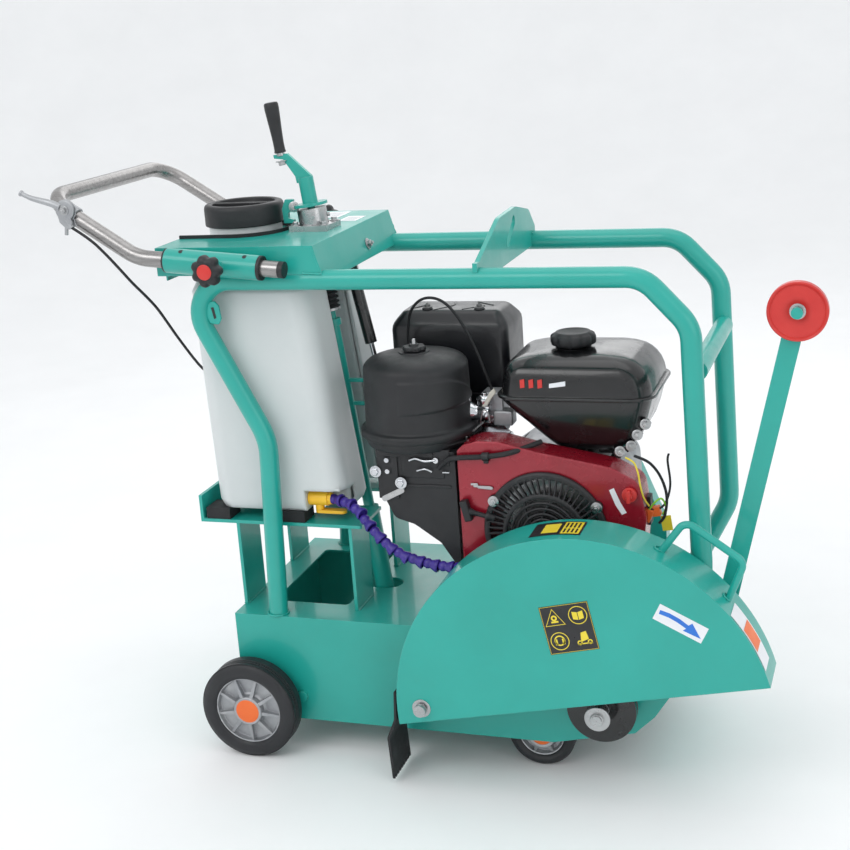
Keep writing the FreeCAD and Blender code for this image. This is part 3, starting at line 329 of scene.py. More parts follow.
def prism(outline, plane, low, high):
    """A flat outline given a thickness, in plane XZ, XY or YZ."""
    spot = {"XZ": lambda a, b, h: at(a, h, b), "XY": lambda a, b, h: at(a, b, h), "YZ": lambda a, b,
        h: at(h, a, b)}
    bottom = [bm.verts.new(spot[plane](a, b, low)) for a, b in outline]
    top = [bm.verts.new(spot[plane](a, b, high)) for a, b in outline]
    bm.faces.new(bottom)
    bm.faces.new(top)
    grid([bottom, top])


def tip(degrees):
    return Matrix.Rotation(math.radians(degrees), 3, "Y")


BOX_FACES = ((0, 1, 3, 2), (4, 6, 7, 5), (0, 4, 5, 1), (2, 3, 7, 6), (0, 2, 6, 4), (1, 5, 7, 3))


def slab(low, high, turn=None, pivot=None):
    """A block between two corners, optionally turned by a matrix about a point."""
    corners = [(x, y, z) for x in (low[0], high[0]) for y in (low[1], high[1]) for z in (low[2], high[2])]
    spots = [at(*corner) for corner in corners]
    if turn:
        about = at(*pivot)
        spots = [about + turn @ (spot - about) for spot in spots]
    verts = [bm.verts.new(spot) for spot in spots]
    for face in BOX_FACES:
        bm.faces.new([verts[i] for i in face])


def flowing(points, steps=8):
    """A smooth line through points (Catmull-Rom)."""
    ends = [points[0]] + list(points) + [points[-1]]
    line = []
    for p0, p1, p2, p3 in zip(ends, ends[1:], ends[2:], ends[3:]):
        p0, p1, p2, p3 = Vector(p0), Vector(p1), Vector(p2), Vector(p3)
        for k in range(steps):
            t = k / steps
            bend = 2 * p0 - 5 * p1 + 4 * p2 - p3
            twist = 3 * p1 - p0 - 3 * p2 + p3
            line.append(0.5 * (2 * p1 + (p2 - p0) * t + bend * t ** 2 + twist * t ** 3))
    line.append(Vector(points[-1]))
    return line


def rod(line, radius, seg=12):
    """A round rod along a line of points."""
    line = [Vector(point) for point in line]
    heading = (line[1] - line[0]).normalized()
    side = square_to(heading)[0]
    rings = []
    for i, point in enumerate(line):
        ahead = (line[min(i + 1, len(line) - 1)] - line[max(i - 1, 0)]).normalized()
        side = (side - ahead * side.dot(ahead)).normalized()
        other = ahead.cross(side)
        size = radius[i] if isinstance(radius, (list, tuple)) else radius
        ring = []
        for k in range(seg):
            a = 2 * math.pi * k / seg
            ring.append(bm.verts.new(at(*point) + (side * math.cos(a) + other * math.sin(a)) * size / 1000.0))
        rings.append(ring)
    grid(rings)
    bm.faces.new(rings[0])
    bm.faces.new(rings[-1])


def hex_bolt(centre, axis, size=13.0, washer=True, stud=0.0):
    """A hexagon head with a chamfer, on a washer, its underside at centre."""
    base = 0.0
    if washer:
        lathe([(size * 0.3, 0), (size * 0.92, 0), (size * 0.95, 0.3), (size * 0.95, 1.5),
            (size * 0.88, 1.9), (size * 0.3, 1.9)], centre, axis, 28, closed=True)
        base = 1.9
    tall = size * 0.52
    flat = size * 0.577
    lathe([(0, base), (flat, base), (flat, base + tall * 0.84), (flat * 0.86, base + tall),
        (0, base + tall)], centre, axis, 6)
    if stud:
        lathe([(size * 0.26, base + tall * 0.5), (size * 0.26, base + tall + stud * 0.85),
            (size * 0.2, base + tall + stud), (0, base + tall + stud)], centre, axis, 14)


def weld(line, radius):
    """A weld bead: a lumpy rod with a scaled surface."""
    line = [Vector(point) for point in line]
    sizes = [radius * (0.82 + 0.22 * math.sin(i * 2.1) + 0.16 * dice.random()) for i in range(len(line))]
    rod(line, sizes, 7)


def ring_line(centre, axis, radius, steps):
    """Points round a circle, the first one repeated at the end."""
    u, v = square_to(axis)[:2]
    spots = []
    for k in range(steps + 1):
        a = 2 * math.pi * k / steps
        spots.append(Vector(centre) + (u * math.cos(a) + v * math.sin(a)) * radius)
    return spots


def piece(name, material, body, replaces=(), bevel=0.0, sharp=38, segments=2):
    """Turn the working mesh into a named piece that rides on a CAD body, and empty it."""
    bmesh.ops.recalc_face_normals(bm, faces=bm.faces)
    mesh = bpy.data.meshes.new(name)
    bm.to_mesh(mesh)
    bm.clear()
    for face in mesh.polygons:
        face.use_smooth = True
    mesh.set_sharp_from_angle(angle=math.radians(sharp))
    mesh.materials.append(material)
    item = bpy.data.objects.new(name, mesh)
    bpy.context.scene.collection.objects.link(item)
    if bevel:
        round_off = item.modifiers.new("round", "BEVEL")
        round_off.width = bevel / 1000.0
        round_off.segments = segments
        round_off.limit_method = "ANGLE"
        round_off.angle_limit = math.radians(sharp)
        round_off.harden_normals = False
    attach(item, body)
    for node in replaces:
        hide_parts(node)
    return item


# ---------------------------------------------------------------- cable and hose

CABLE = [(-196, -232, 964), (-165, -232, 945), (-139, -232, 920), (-116, -229, 892), (-103, -213, 863),
    (-96, -189, 838), (-90, -164, 811), (-85, -144, 782), (-80, -124, 752), (-77, -101, 724),
    (-75, -77, 697), (-74, -51, 672), (-71, -22, 650), (-68, 10, 634), (-64, 44, 623), (-61, 79, 613),
    (-60, 115, 606), (-46, 145, 598), (-11, 153, 591), (25, 155, 588), (61, 156, 587), (97, 156, 588),
    (133, 155, 588), (170, 154, 589), (206, 151, 589), (237, 135, 583), (260, 108, 575), (281, 79, 571),
    (299, 48, 574), (305, 29, 603), (305, 18, 638), (306, 13, 674), (308, 10, 710), (314, 0, 744),
    (326, -11, 776), (354, -20, 797), (388, -25, 793), (413, -27, 767), (431, -29, 736), (446, -30, 703),
    (458, -30, 669), (470, -30, 634)]
HOSE = [(190, -125, 456), (228, -140, 457), (260, -161, 440), (289, -172, 412), (321, -176, 384),
    (360, -179, 370), (402, -182, 363), (444, -185, 363), (486, -186, 364), (525, -187, 349),
    (556, -187, 320)]


def route_curve(name, points, radius):
    data = bpy.data.curves.new(name, "CURVE")
    data.dimensions = "3D"
    data.resolution_u = 10
    spline = data.splines.new("NURBS")
    spline.points.add(len(points) - 1)
    for point, spot in zip(spline.points, points):
        point.co = (*at(*spot), 1.0)
    spline.order_u = 3
    spline.use_endpoint_u = True
    data.bevel_depth = radius / 1000.0
    data.bevel_resolution = 5
    data.use_fill_caps = True
    item = bpy.data.objects.new(name, data)
    bpy.context.scene.collection.objects.link(item)
    return item


def route_line(name, points):
    """The points of the route's smooth line, in millimetres."""
    item = route_curve(name, points, 0.0)
    line = [vert.co.copy() for vert in bpy.data.meshes.new_from_object(item).vertices]
    bpy.data.objects.remove(item)
    return [(spot - ORIGIN) * 1000.0 for spot in line]


cable = route_curve("throttle_cable_sheath", CABLE, 2.5)
cable.data.materials.append(RUBBER)
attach(cable, "chassis")
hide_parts("throttle_cable")


def walk(line, step):
    """Places at equal steps along a line: (point, heading)."""
    spots, gone, want = [], 0.0, 0.0
    for a, b in zip(line, line[1:]):
        length = (b - a).length
        while want <= gone + length and length > 0:
            spots.append((a + (b - a) * ((want - gone) / length), (b - a).normalized()))
            want += step
        gone += length
    return spots, gone


hose_line = route_line("hose_route", HOSE)
hose_length = walk(hose_line, 10.0)[1]
LINKS = 15
link_step = hose_length / LINKS
for number, (spot, heading) in enumerate(walk(hose_line, link_step)[0][:LINKS]):
    grow = link_step / 28.0
    lathe([(0, 0), (6.4, 0), (7.6, 2 * grow), (9.4, 7 * grow), (8.6, 11 * grow), (7.4, 13 * grow),
        (7.8, 14.5 * grow), (10.8, 22 * grow), (11.5, 24 * grow), (11.5, 26.6 * grow), (10.7, 27.6 * grow),
        (9.0, 27.8 * grow), (8.4, 24 * grow), (0, 23 * grow)], spot, heading, 32)
piece("water_hose_links", PURPLE, "chassis", ["water_hose"], sharp=50)

# ---------------------------------------------------------------- wheels

def make_wheel(name, node, body, out, width, radius, rim, hub, cap, ribs, grooves):
    """Tyre with grooves, ribbed aluminium centre and an orange cap; out is the outward Y direction."""
    low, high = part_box(node)
    centre = ((low + high) / 2.0 - ORIGIN) * 1000.0
    axis = (0, out, 0)
    half = width / 2.0
    tread = []
    for y in grooves:
        tread += [(radius - 0.3, y - 1.9), (radius - 2.6, y - 1.1), (radius - 2.6, y + 1.1),
            (radius - 0.3, y + 1.9)]
    side = [(rim - 1, -half + 5), (rim + 2, -half + 1.5), (rim + 6, -half), (radius - 11, -half + 0.8),
        (radius - 5, -half + 2.5), (radius - 1.6, -half + 6)]
    profile = side + [(radius, -half + 9)] + tread + [(radius, half - 9)] + [(r, -h) for r,
        h in reversed(side)]
    profile += [(rim - 3, half - 8), (rim - 3, -half + 8)]
    lathe(profile, centre, axis, 96, closed=True)
    piece(name + "_tyre", TYRE, body, [node], sharp=55)
    deep = half - 15
    lathe([(hub - 6, half - 2), (hub - 1.5, half - 1), (hub, half - 2.5), (hub + 1.5, deep + 3),
        (hub + 5, deep), (rim - 6, deep), (rim - 4, deep + 3), (rim - 2.8, half - 6.5),
        (rim - 0.4, half - 5.2), (rim - 0.4, half - 7), (rim - 0.4, -half + 7), (rim - 3, -half + 6.5),
        (rim - 5, -deep - 2), (hub + 5, -deep), (hub, -half + 4), (hub - 2, -half + 2.5),
        (10.4, -half + 2.5), (10.4, half - 6), (hub - 6, half - 6)], centre, axis, 72, closed=True)
    u, v, w = square_to(axis)
    for k in range(ribs):
        a = 2 * math.pi * (k + 0.3) / ribs
        ray = u * math.cos(a) + v * math.sin(a)
        across = w.cross(ray)
        for sign in (1, -1):
            lowest, inner, outer = sign * (deep - 2), sign * (half - 3.5), sign * (half - 8)
            spots = []
            for r, h_top, wide in ((hub - 2, inner, 3.4), (rim - 3, outer, 2.4)):
                for h in (lowest, h_top):
                    for s in (-wide, wide):
                        spots.append(bm.verts.new(at(*(centre + ray * r + w * h + across * s))))
            for face in BOX_FACES:
                bm.faces.new([spots[i] for i in face])
    flash = dice.randrange(100)
    lathe([(rim - 3.4, half - 6.0), (rim + 0.8, half - 5.0), (rim + 0.8, half - 5.6),
        (rim - 3.4, half - 6.6)], centre, axis, 120, closed=True, shape=lambda a,
        h: 1 + 0.010 * math.sin(a * 17 + flash) * math.sin(a * 5.3) + 0.004 * math.sin(a * 41))
    piece(name + "_rim", ALUMINIUM, body, sharp=32, bevel=0.7)
    lathe([(0, half - 1.2), (cap - 6, half - 1.3), (cap - 1.6, half - 1.9), (cap - 0.2, half - 2.8),
        (cap, half - 4), (cap, half - 5.9), (0, half - 5.9)], centre, axis, 48)
    piece(name + "_cap", ORANGE, body, sharp=50)


for side, out in (("right", -1), ("left", 1)):
    make_wheel("rear_wheel_" + side, "rear_wheel_" + side, "rear_" + side, out, 48.0, 90.0, 63.0, 27.0,
        24.5, 9, (2, 9, 16))
    make_wheel("front_wheel_" + side, "front_wheel_" + side, "front_" + side, out, 46.0, 59.0, 41.0, 25.0,
        19.5, 7, (-8, 8))

# ---------------------------------------------------------------- blade guard, flange, pointer

def label_patch(name, outline, material, y):
    prism(outline, "XZ", y, y - LABEL_THICK)
    piece(name, material, "guard")


GUARD_FACE = (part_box("blade_guard")[0] - ORIGIN).y * 1000.0
GUARD_X, GUARD_Z, GUARD_R = 661.8, 151.6, 314.5
SHAFT_X, SHAFT_Z = 687, 149
LABEL_THICK = 0.25


def tilted(cx, cz, angle):
    """Local (a, b) coordinates of a tilted label into machine X, Z."""
    c, s = math.cos(math.radians(angle)), math.sin(math.radians(angle))
    return lambda a, b: (cx + a * c - b * s, cz + a * s + b * c)


def band(local, a, b, outer, inner, corners, turn):
    """A flat ring with the given number of corners, as quads."""
    rings = []
    for size in (outer, inner):
        rings.append([local(a + size * math.cos(math.radians(turn + 360.0 * k / corners)),
            b + size * math.sin(math.radians(turn + 360.0 * k / corners))) for k in range(corners)])
    return rings


def flat_ring(rings, y):
    outer = [bm.verts.new(at(x, y, z)) for x, z in rings[0]]
    inner = [bm.verts.new(at(x, y, z)) for x, z in rings[1]]
    grid([outer, inner])


def flat_patch(outline, y):
    bm.faces.new([bm.verts.new(at(x, y, z)) for x, z in outline])


sign = tilted(650.8, 314.2, -77.8 + 90)
label_patch("guard_sign_plate", [sign(-41, -41.5), sign(41, -41.5), sign(41, 41.5), sign(-41, 41.5)],
    LABEL_BLACK, GUARD_FACE - 0.05)
y = GUARD_FACE - 0.45
for a, b, outer, inner, corners, turn in ((-20, 17, 19.5, 17.6, 3, 90), (20, 20, 15.5, 14.2, 40, 0),
        (-20, -20, 15.5, 14.2, 40, 0), (-20, 20, 5.0, 2.2, 20, 0), (-20, -19, 9.0, 6.8, 28, 0),
        (12, -27, 4.2, 2.2, 16, 0), (29, -27, 4.2, 2.2, 16, 0)):
    flat_ring(band(sign, a, b, outer, inner, corners, turn), y)
for outline in (((11, 14), (19.4, 12), (19.4, 25), (11, 27)), ((20.6, 12), (29, 14), (29, 27), (20.6, 25)),
        ((-26, 12), (-14, 12), (-14, 15), (-26, 15)), ((-28, -26), (-24, -26), (-24, -16), (-28, -16)),
        ((-16, -26), (-12, -26), (-12, -16), (-16, -16)), ((8, -30), (33, -30), (33, -28), (8, -28)),
        ((14, -26), (28, -22), (26, -8), (17, -10))):
    flat_patch([sign(a, b) for a, b in outline], y)
flat_ring([[sign(a, b) for a, b in ((-40, -40.5), (40, -40.5), (40, 40.5), (-40, 40.5))],
    [sign(a, b) for a, b in ((-39.4, -39.9), (39.4, -39.9), (39.4, 39.9), (-39.4, 39.9))]], y)
piece("guard_sign_marks", LABEL_YELLOW, "guard")

arrow = tilted(828.4, 335.0, -26.2)
label_patch("guard_arrow_plate", [arrow(-41.5, -14), arrow(41.5, -14.5), arrow(41.5, 14),
    arrow(-41.5, 14.5)], LABEL_WHITE, GUARD_FACE - 0.05)
flat = [(-37, 5.2), (-22, 7.4), (-4, 6.6), (12, 3.4), (16, 9.5), (38, -7.5), (8, -8.8), (11, -3.2),
    (-5, -0.6), (-20, 0.2), (-36, -1.8)]
flat_patch([arrow(a, b) for a, b in flat], GUARD_FACE - 0.45)
piece("guard_arrow_mark", LABEL_BLUE, "guard")


def rim_label(name, start, end, y_low, y_high, material, lift=0.25):
    """A label bent over the guard's round rim, angles in degrees."""
    rows = []
    for k in range(13):
        a = math.radians(start + (end - start) * k / 12)
        radius = GUARD_R + lift
        rows.append([bm.verts.new(at(GUARD_X + radius * math.cos(a), y,
            GUARD_Z + radius * math.sin(a))) for y in (y_low, y_high)])
    grid(rows, closed=False)
    return piece(name, material, "guard")


rim_label("rim_label_top", 103.8, 88.4, -272, -212, LABEL_BLACK, 0.5)
rim_label("rim_label_top_panel", 94.5, 89.0, -268, -216, LABEL_YELLOW, 0.8)
rim_label("rim_label_top_mark", 100.5, 95.6, -262, -222, LABEL_YELLOW, 0.8)
rim_label("rim_label_front", 39.5, 20.5, -286, -236, LABEL_WHITE, 0.5)
rim_label("rim_label_front_panel", 33.8, 26.4, -282, -240, ORANGE, 0.8)
for angle in (93.6, 92.4, 91.2, 90.0):
    a, b = math.radians(angle + 0.28), math.radians(angle - 0.28)
    radius = GUARD_R + 1.1
    for y0, y1 in ((-264, -246), (-242, -220)):
        bm.faces.new([bm.verts.new(at(GUARD_X + radius * math.cos(t), y,
            GUARD_Z + radius * math.sin(t))) for t, y in ((a, y0), (b, y0), (b, y1), (a, y1))])
piece("rim_label_top_bars", LABEL_BLACK, "guard")

hex_bolt((391, GUARD_FACE + 0.2, 149), RIGHT, 17, stud=3)
hex_bolt((848.5, -153.8, 170), RIGHT, 15, stud=4)
hex_bolt((200, 26.5, 884), (0, 1, 0), 10, stud=2)
piece("pivot_fasteners", STEEL, "chassis", sharp=30)

lathe([(13.2, -9.6), (58.2, -9.6), (58.2, -10.4), (57.9, 0.4), (56.6, 0.9), (40, 0.7), (38, 1.4), (24, 1.4),
    (22, 0.4), (13.2, 0.4)], (SHAFT_X, -242, SHAFT_Z), RIGHT, 72, closed=True)
lathe([(25.0, 0), (44, 0.8), (52, 3), (57.6, 9.2), (57.6, 9.6), (24.6, 9.6)], (SHAFT_X, -232.6, SHAFT_Z),
    (0, 1, 0), 60, closed=True)
piece("flange_black", GLOSS_BLACK, "spindle", sharp=30, bevel=0.5)
lathe([(9.3, 0), (21, 0), (21.4, 0.6), (21.4, 3.6), (20.4, 4.4), (9.3, 4.4)], (SHAFT_X, -272, SHAFT_Z),
    RIGHT, 40, closed=True)
lathe([(4.6, 9.5), (10.5, 9.5), (11.4, 8.4), (11.4, 4.4), (9.3, 4.4), (4.6, 4.4)], (SHAFT_X, -272, SHAFT_Z),
    RIGHT, 36, closed=True)
piece("arbor_bolt", STEEL, "spindle", sharp=30)

low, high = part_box("pointer_wheel")
disc = ((low + high) / 2.0 - ORIGIN) * 1000.0
half = (high.y - low.y) * 500.0
lathe([(6.0, half - 5), (15, half - 5), (17, half - 3.4), (24, half - 3.6), (40, half - 4.2),
    (42, half - 1.5), (44.2, half - 0.2), (46, half - 1.6), (46, -half + 1.6), (44.2, -half + 0.2),
    (42, -half + 1.5), (40, -half + 4.2), (17, -half + 3.4), (15, -half + 5), (6.0, -half + 5)], disc,
    RIGHT, 72, closed=True)
piece("pointer_disc_red", RED_PLASTIC, "pointer_disc", ["pointer_wheel"], sharp=42)
hex_bolt((disc.x, disc.y - half + 5.0, disc.z), RIGHT, 13, stud=4)
lathe([(0, 0), (5.0, 0), (5.0, half * 2 + 6), (0, half * 2 + 6)], (disc.x, disc.y - half + 4, disc.z),
    (0, 1, 0), 20)
piece("pointer_disc_nut", STEEL, "pointer", sharp=30)
guard_low = GUARD_FACE + 46
for angle in (66.0, 42.5):
    a = math.radians(angle)
    spot = (GUARD_X + (GUARD_R + 1) * math.cos(a), guard_low, GUARD_Z + (GUARD_R + 1) * math.sin(a))
    weld(ring_line(spot, (math.cos(a), 0, math.sin(a)), 7.2, 26), 1.9)
piece("guard_welds", GREEN, "guard", sharp=60)

# ---------------------------------------------------------------- engine

CLEANER = (350, -80, 0)
FILLER = (615, -20, 0)
TANK_BOLTS = ((703.7, 550.4), (722.6, 560.4), (733.4, 579.9), (747.4, 598.5))
MUFFLER_BOLTS = ((332, 60), (429, 60))
BASE_BOLTS = ((289.5, 519), (334.5, 500))
BASE_STUDS = ((311, 540), (311, 520))
COVER_BOLTS = (148.6, 29.0, 268.0)
ROPE_AXIS = (1, 0.04, -0.26)


def rounded(cx, cy, hx, hy, corner, z, per=9):
    """A rounded rectangle at one height."""
    spots = []
    for sx, sy, start in ((1, 1, 0), (-1, 1, 90), (-1, -1, 180), (1, -1, 270)):
        for k in range(per + 1):
            a = math.radians(start + 90.0 * k / per)
            spots.append((cx + sx * (hx - corner) + corner * math.cos(a),
                cy + sy * (hy - corner) + corner * math.sin(a), z))
    return spots


def stack(sections):
    """Rounded rectangles (x0, y0, x1, y1, corner, z) joined upwards and closed at both ends."""
    rings = [[bm.verts.new(at(*spot)) for spot in rounded((x0 + x1) / 2, (y0 + y1) / 2, (x1 - x0) / 2,
        (y1 - y0) / 2, corner, z)] for x0, y0, x1, y1, corner, z in sections]
    grid(rings)
    bm.faces.new(rings[0])
    bm.faces.new(rings[-1])


def beam(start, end, across, rise_start, rise_end):
    """A bar between two points with its own width and height at each end."""
    start, end, across = Vector(start), Vector(end), Vector(across)
    spots = []
    for middle, rise in ((start, Vector(rise_start)), (end, Vector(rise_end))):
        spots += [middle + across + rise, middle - across + rise, middle - across - rise,
            middle + across - rise]
    verts = [bm.verts.new(at(*spot)) for spot in spots]
    for face in ((3, 2, 1, 0), (4, 5, 6, 7), (0, 1, 5, 4), (1, 2, 6, 5), (2, 3, 7, 6), (3, 0, 4, 7)):
        bm.faces.new([verts[i] for i in face])


def turned_piece(name, profile, centre, axis, material, body, replaces=(), seg=64, shape=None,
        closed=False, sharp=40, bevel=0.0):
    lathe(profile, centre, axis, seg, shape, closed)
    return piece(name, material, body, replaces, bevel=bevel, sharp=sharp)


stack([(604, -76, 696, 62, 18, 546.6), (598, -82, 702, 68, 20, 548), (590, -87, 710, 74, 22, 552),
    (578, -92, 726, 80, 25, 562), (564, -99, 738, 86, 28, 576), (542, -105, 746, 90, 31, 597),
    (516, -109.5, 752, 93, 33, 619), (503, -112, 756, 94.5, 34, 634), (502, -112.4, 757, 95, 35, 639),
    (496, -117.5, 763, 99.5, 39, 639.8), (494.6, -118.6, 764.2, 100.4, 39.6, 641),
    (494.6, -118.6, 764.2, 100.4, 39.6, 644), (496, -117.5, 763, 99.5, 39, 645.2),
    (502, -112.6, 757.5, 94.6, 35, 645.8), (502.5, -112.2, 757, 94.3, 35, 651),
    (504, -111.4, 755, 93, 35, 663), (506.5, -109.8, 750.5, 90.5, 34.5, 675),
    (509, -107.2, 744.5, 87, 34, 685), (512.5, -103, 738, 82.5, 33, 692.5), (518, -97, 730, 77, 31, 698.5),
    (526, -89, 720, 70, 29, 703), (540, -78, 706, 61, 26, 706.6), (558, -66, 690, 51, 23, 708.8),
    (580, -50, 664, 34, 20, 710)])
lathe([(0, 706), (31, 706), (31, 710.6), (29.5, 711.6), (25, 711.6), (25, 714), (0, 714)], FILLER, Z, 48)
piece("fuel_tank_shell", GLOSS_BLACK, "chassis", ["engine_fuel_tank"], sharp=34)
for x in (600, 660):
    slab((x, -60, 534.6), (x + 38, 60, 549))
for x, z in TANK_BOLTS:
    slab((x - 13, -96, z - 6), (x + 6, -84, z + 4), tip(-35), (x, -90, z))
piece("fuel_tank_feet", BLACK, "chassis", bevel=1.2)
for x, z in TANK_BOLTS:
    hex_bolt((x, -97, z), (0.25, -1, 0.1), 9.5, stud=2.5)
piece("fuel_tank_bolts", STEEL, "chassis", sharp=30)


def lobed(lobes, deep, low, high):
    return lambda a, h: 1 - (deep * (0.5 + 0.5 * math.cos(lobes * a)) ** 2 if low < h < high else 0.0)


turned_piece("fuel_cap_black", [(0, 714.3), (33, 714.3), (34.5, 715), (37.6, 716.4), (39, 718.4), (39, 728),
    (38, 731), (35, 733), (31.5, 734.4), (29.5, 736.4), (26.5, 736.9), (23.5, 735.6), (0, 735.2)], FILLER,
    Z, BLACK, "filler", ["fuel_cap"], seg=140, shape=lobed(10, 0.085, 715.5, 734),
    sharp=45)
for k in range(3):
    tone = tilted(546 + 15 * k, 668, 12)
    flat_patch([tone(-5, -7), tone(3, -7), tone(6, 7), tone(-2, 7)], -112.15 + 0.02 * k)
piece("tank_stripes_red", RED_PLASTIC, "chassis")
tone = tilted(600, 666, 12)
flat_patch([tone(-9, -3), tone(19, -5), tone(21, 3), tone(-7, 4)], -112.1)
piece("tank_stripe_white", LABEL_WHITE, "chassis")

# recoil starter cover: mounting ring, radial fins, inner concentric slats, hub
HUB = Vector((585, -150, 422))


def polar(radius, degrees, lift):
    a = math.radians(degrees)
    return HUB + Vector((math.cos(a), 0, math.sin(a))) * radius + RIGHT * lift


lathe([(98, 0.4), (106, 0.4), (106, 5.5), (104.6, 7.4), (101.5, 8.6), (97.5, 9.0), (95.5, 8.4),
    (95.5, 0.4)], HUB, RIGHT, 96, closed=True)
lathe([(63.5, 8), (71, 8), (71, 14.2), (69.5, 15.6), (66, 16.4), (63.5, 15.8)], HUB, RIGHT, 96, closed=True)
for radius in (27, 36.5, 46, 55.5):
    lathe([(radius - 2.1, 9), (radius + 2.1, 9), (radius + 2.1, 15.4), (radius, 16.6),
        (radius - 2.1, 15.4)], HUB, RIGHT, 84, closed=True)
lathe([(0, 9), (19, 9), (19, 15.2), (17, 17.2), (8, 18), (0, 18)], HUB, RIGHT, 48)
for k in range(54):
    angle = 360.0 * k / 54
    tangent = polar(1, angle + 90, 0) - HUB
    beam(polar(68, angle, 10.5), polar(98.5, angle + 3.0, 6.2), tangent * 1.35, RIGHT * 4.6, RIGHT * 2.4)
for k in range(8):
    angle = 360.0 * k / 8 + 11
    for step in range(4):
        r0, r1 = 17 + 12.3 * step, 17 + 12.3 * (step + 1)
        a0, a1 = angle - 7 * step, angle - 7 * (step + 1)
        tangent = polar(1, a0 + 90, 0) - HUB
        beam(polar(r0, a0, 12.5), polar(r1, a1, 12.5), tangent * 1.9, RIGHT * 3.2, RIGHT * 3.2)
for angle in COVER_BOLTS:
    lathe([(0, 0.4), (10, 0.4), (10, 6), (9, 7.4), (0, 7.4)], polar(101.5, angle, 0), RIGHT, 30)
piece("starter_grille", BLACK, "chassis", ["recoil_cover"], sharp=34)
for angle in COVER_BOLTS:
    hex_bolt(polar(101.5, angle, 7.2), RIGHT, 10, stud=1.5)
piece("starter_bolts", STEEL, "chassis", sharp=30)
turned_piece("starter_pulley", [(0, 0), (58, 0), (58, 2), (40, 3), (22, 6), (0, 6)], (585, -146.5, 422),
    RIGHT, IRON, "chassis", seg=60)
slab((444, -166.5, 439), (457, -151.5, 476), tip(-14), (451, -159, 458))
lathe([(0, 0), (6.5, 0), (6.0, 6), (4.4, 10), (4.0, 30), (5.2, 33), (5.2, 35), (0, 35)], (454, -159, 456),
    ROPE_AXIS, 26)
piece("starter_grip_black", BLACK, "starter", ["recoil_grip"], bevel=2.2, segments=3)
turned_piece("rope_guide", [(3.2, 0), (7.8, 0), (8.6, 1.6), (8.6, 5), (6.5, 9), (6.0, 16), (3.2, 16)],
    (484, -158.5, 449), ROPE_AXIS, BLACK, "chassis", seg=30, closed=True)

# air cleaner: flared skirt, raised side panel, shouldered top
def swoosh(a, h):
    around = (math.degrees(a) + 90.0 + 180.0) % 360.0 - 180.0
    place = (around + 95.0) / 118.0
    if not 0 < place < 1:
        return 1.0
    upper = 683 - 52 * max(0.0, (place - 0.42) / 0.58) ** 1.6
    lower = 624 + 8 * place
    ease = lambda t: min(1.0, max(0.0, t)) ** 2 * (3 - 2 * min(1.0, max(0.0, t)))
    lift = ease((upper - h) / 5) * ease((h - lower) / 2.5) * ease(place * 20) * ease((1 - place) * 8)
    return 1 + 0.030 * lift


outer = [(96, 574.6), (101, 574.6), (102, 575.6), (102, 584), (101, 586.4), (99.2, 587.8), (95.6, 588.8),
    (93.6, 590.6), (93, 594)]
outer += [(93 - 2.0 * k / 46, 596 + 2.0 * k) for k in range(47)]
outer += [(90.4, 692), (88.8, 696), (85.6, 700), (81, 703.6), (74, 706.6), (62, 709.6), (46, 712.2),
    (30, 713.6), (27.5, 713.9), (26.5, 715.5), (0, 715.9)]
turned_piece("cleaner_shell", outer, CLEANER, Z, BLACK, "chassis", ["air_cleaner_cover"],
    seg=220, shape=swoosh, sharp=50)
rod(flowing([(385, -128, 707.6), (397, -108, 708.6), (414, -92, 707.6)], 6), 1.3, 8)
piece("cleaner_rib", BLACK, "chassis")
turned_piece("cleaner_knob", [(0, 716.3), (19, 716.3), (20.6, 717.5), (20.6, 722.4), (19, 724), (9, 724.6),
    (8, 727.4), (0, 727.6)], CLEANER, Z, BLACK, "nut", ["wing_nut"], seg=96,
    shape=lobed(6, 0.16, 716, 724.3))
turned_piece("cleaner_stud", [(0, 722), (3.2, 722), (3.2, 735.4), (2.6, 736.2), (0, 736.2)], CLEANER, Z,
    STEEL, "chassis", seg=20)
slab((292, -151.6, 546), (394, -148.4, 573))
slab((292, -151.0, 470), (329, -148.4, 546))
slab((329, -150.2, 492), (423, -148.4, 497))
for x, z in BASE_STUDS:
    slab((x - 6, -153, z - 5), (x + 6, -150, z + 5))
piece("cleaner_base_relief", BLACK, "chassis", bevel=1.2)
turned_piece("cleaner_neck", [(76, 557), (90, 557), (92, 560), (94.6, 571), (94.6, 574.2), (76, 574.2)],
    CLEANER, Z, BLACK, "chassis", seg=96, closed=True)
for x, z in BASE_BOLTS:
    puck(8.6, -3, 2.2, (x, -151, z), RIGHT, 26)
piece("cleaner_base_bosses", BLACK, "chassis", bevel=0.8)
for x, z in BASE_BOLTS:
    hex_bolt((x, -153, z), RIGHT, 11)
for x, z in BASE_STUDS:
    lathe([(0, 0), (4.6, 0), (4.2, 1.8), (0, 2.4)], (x, -153, z), RIGHT, 16)
rod(flowing([(352, -153.4, 541), (364, -154.2, 545), (380, -154.4, 541), (399, -153.6, 543)], 6), 2.4, 10)
rod(flowing([(365, -153.6, 523), (380, -155, 527), (392, -154, 522)], 6), 1.8, 10)
rod([(410, -152, 521), (422, -151.6, 521)], 1.4, 8)
lathe([(0, 0), (5.4, 0), (5.0, 3), (0, 3.4)], (399, -150.5, 542), RIGHT, 20)
piece("choke_linkage", CHROME, "chassis", sharp=40)
slab((388, -149.6, 531), (423, -140, 560))
slab((336, -149.2, 509), (412, -147.2, 547))
piece("linkage_box", BLACK, "chassis", bevel=1.5)

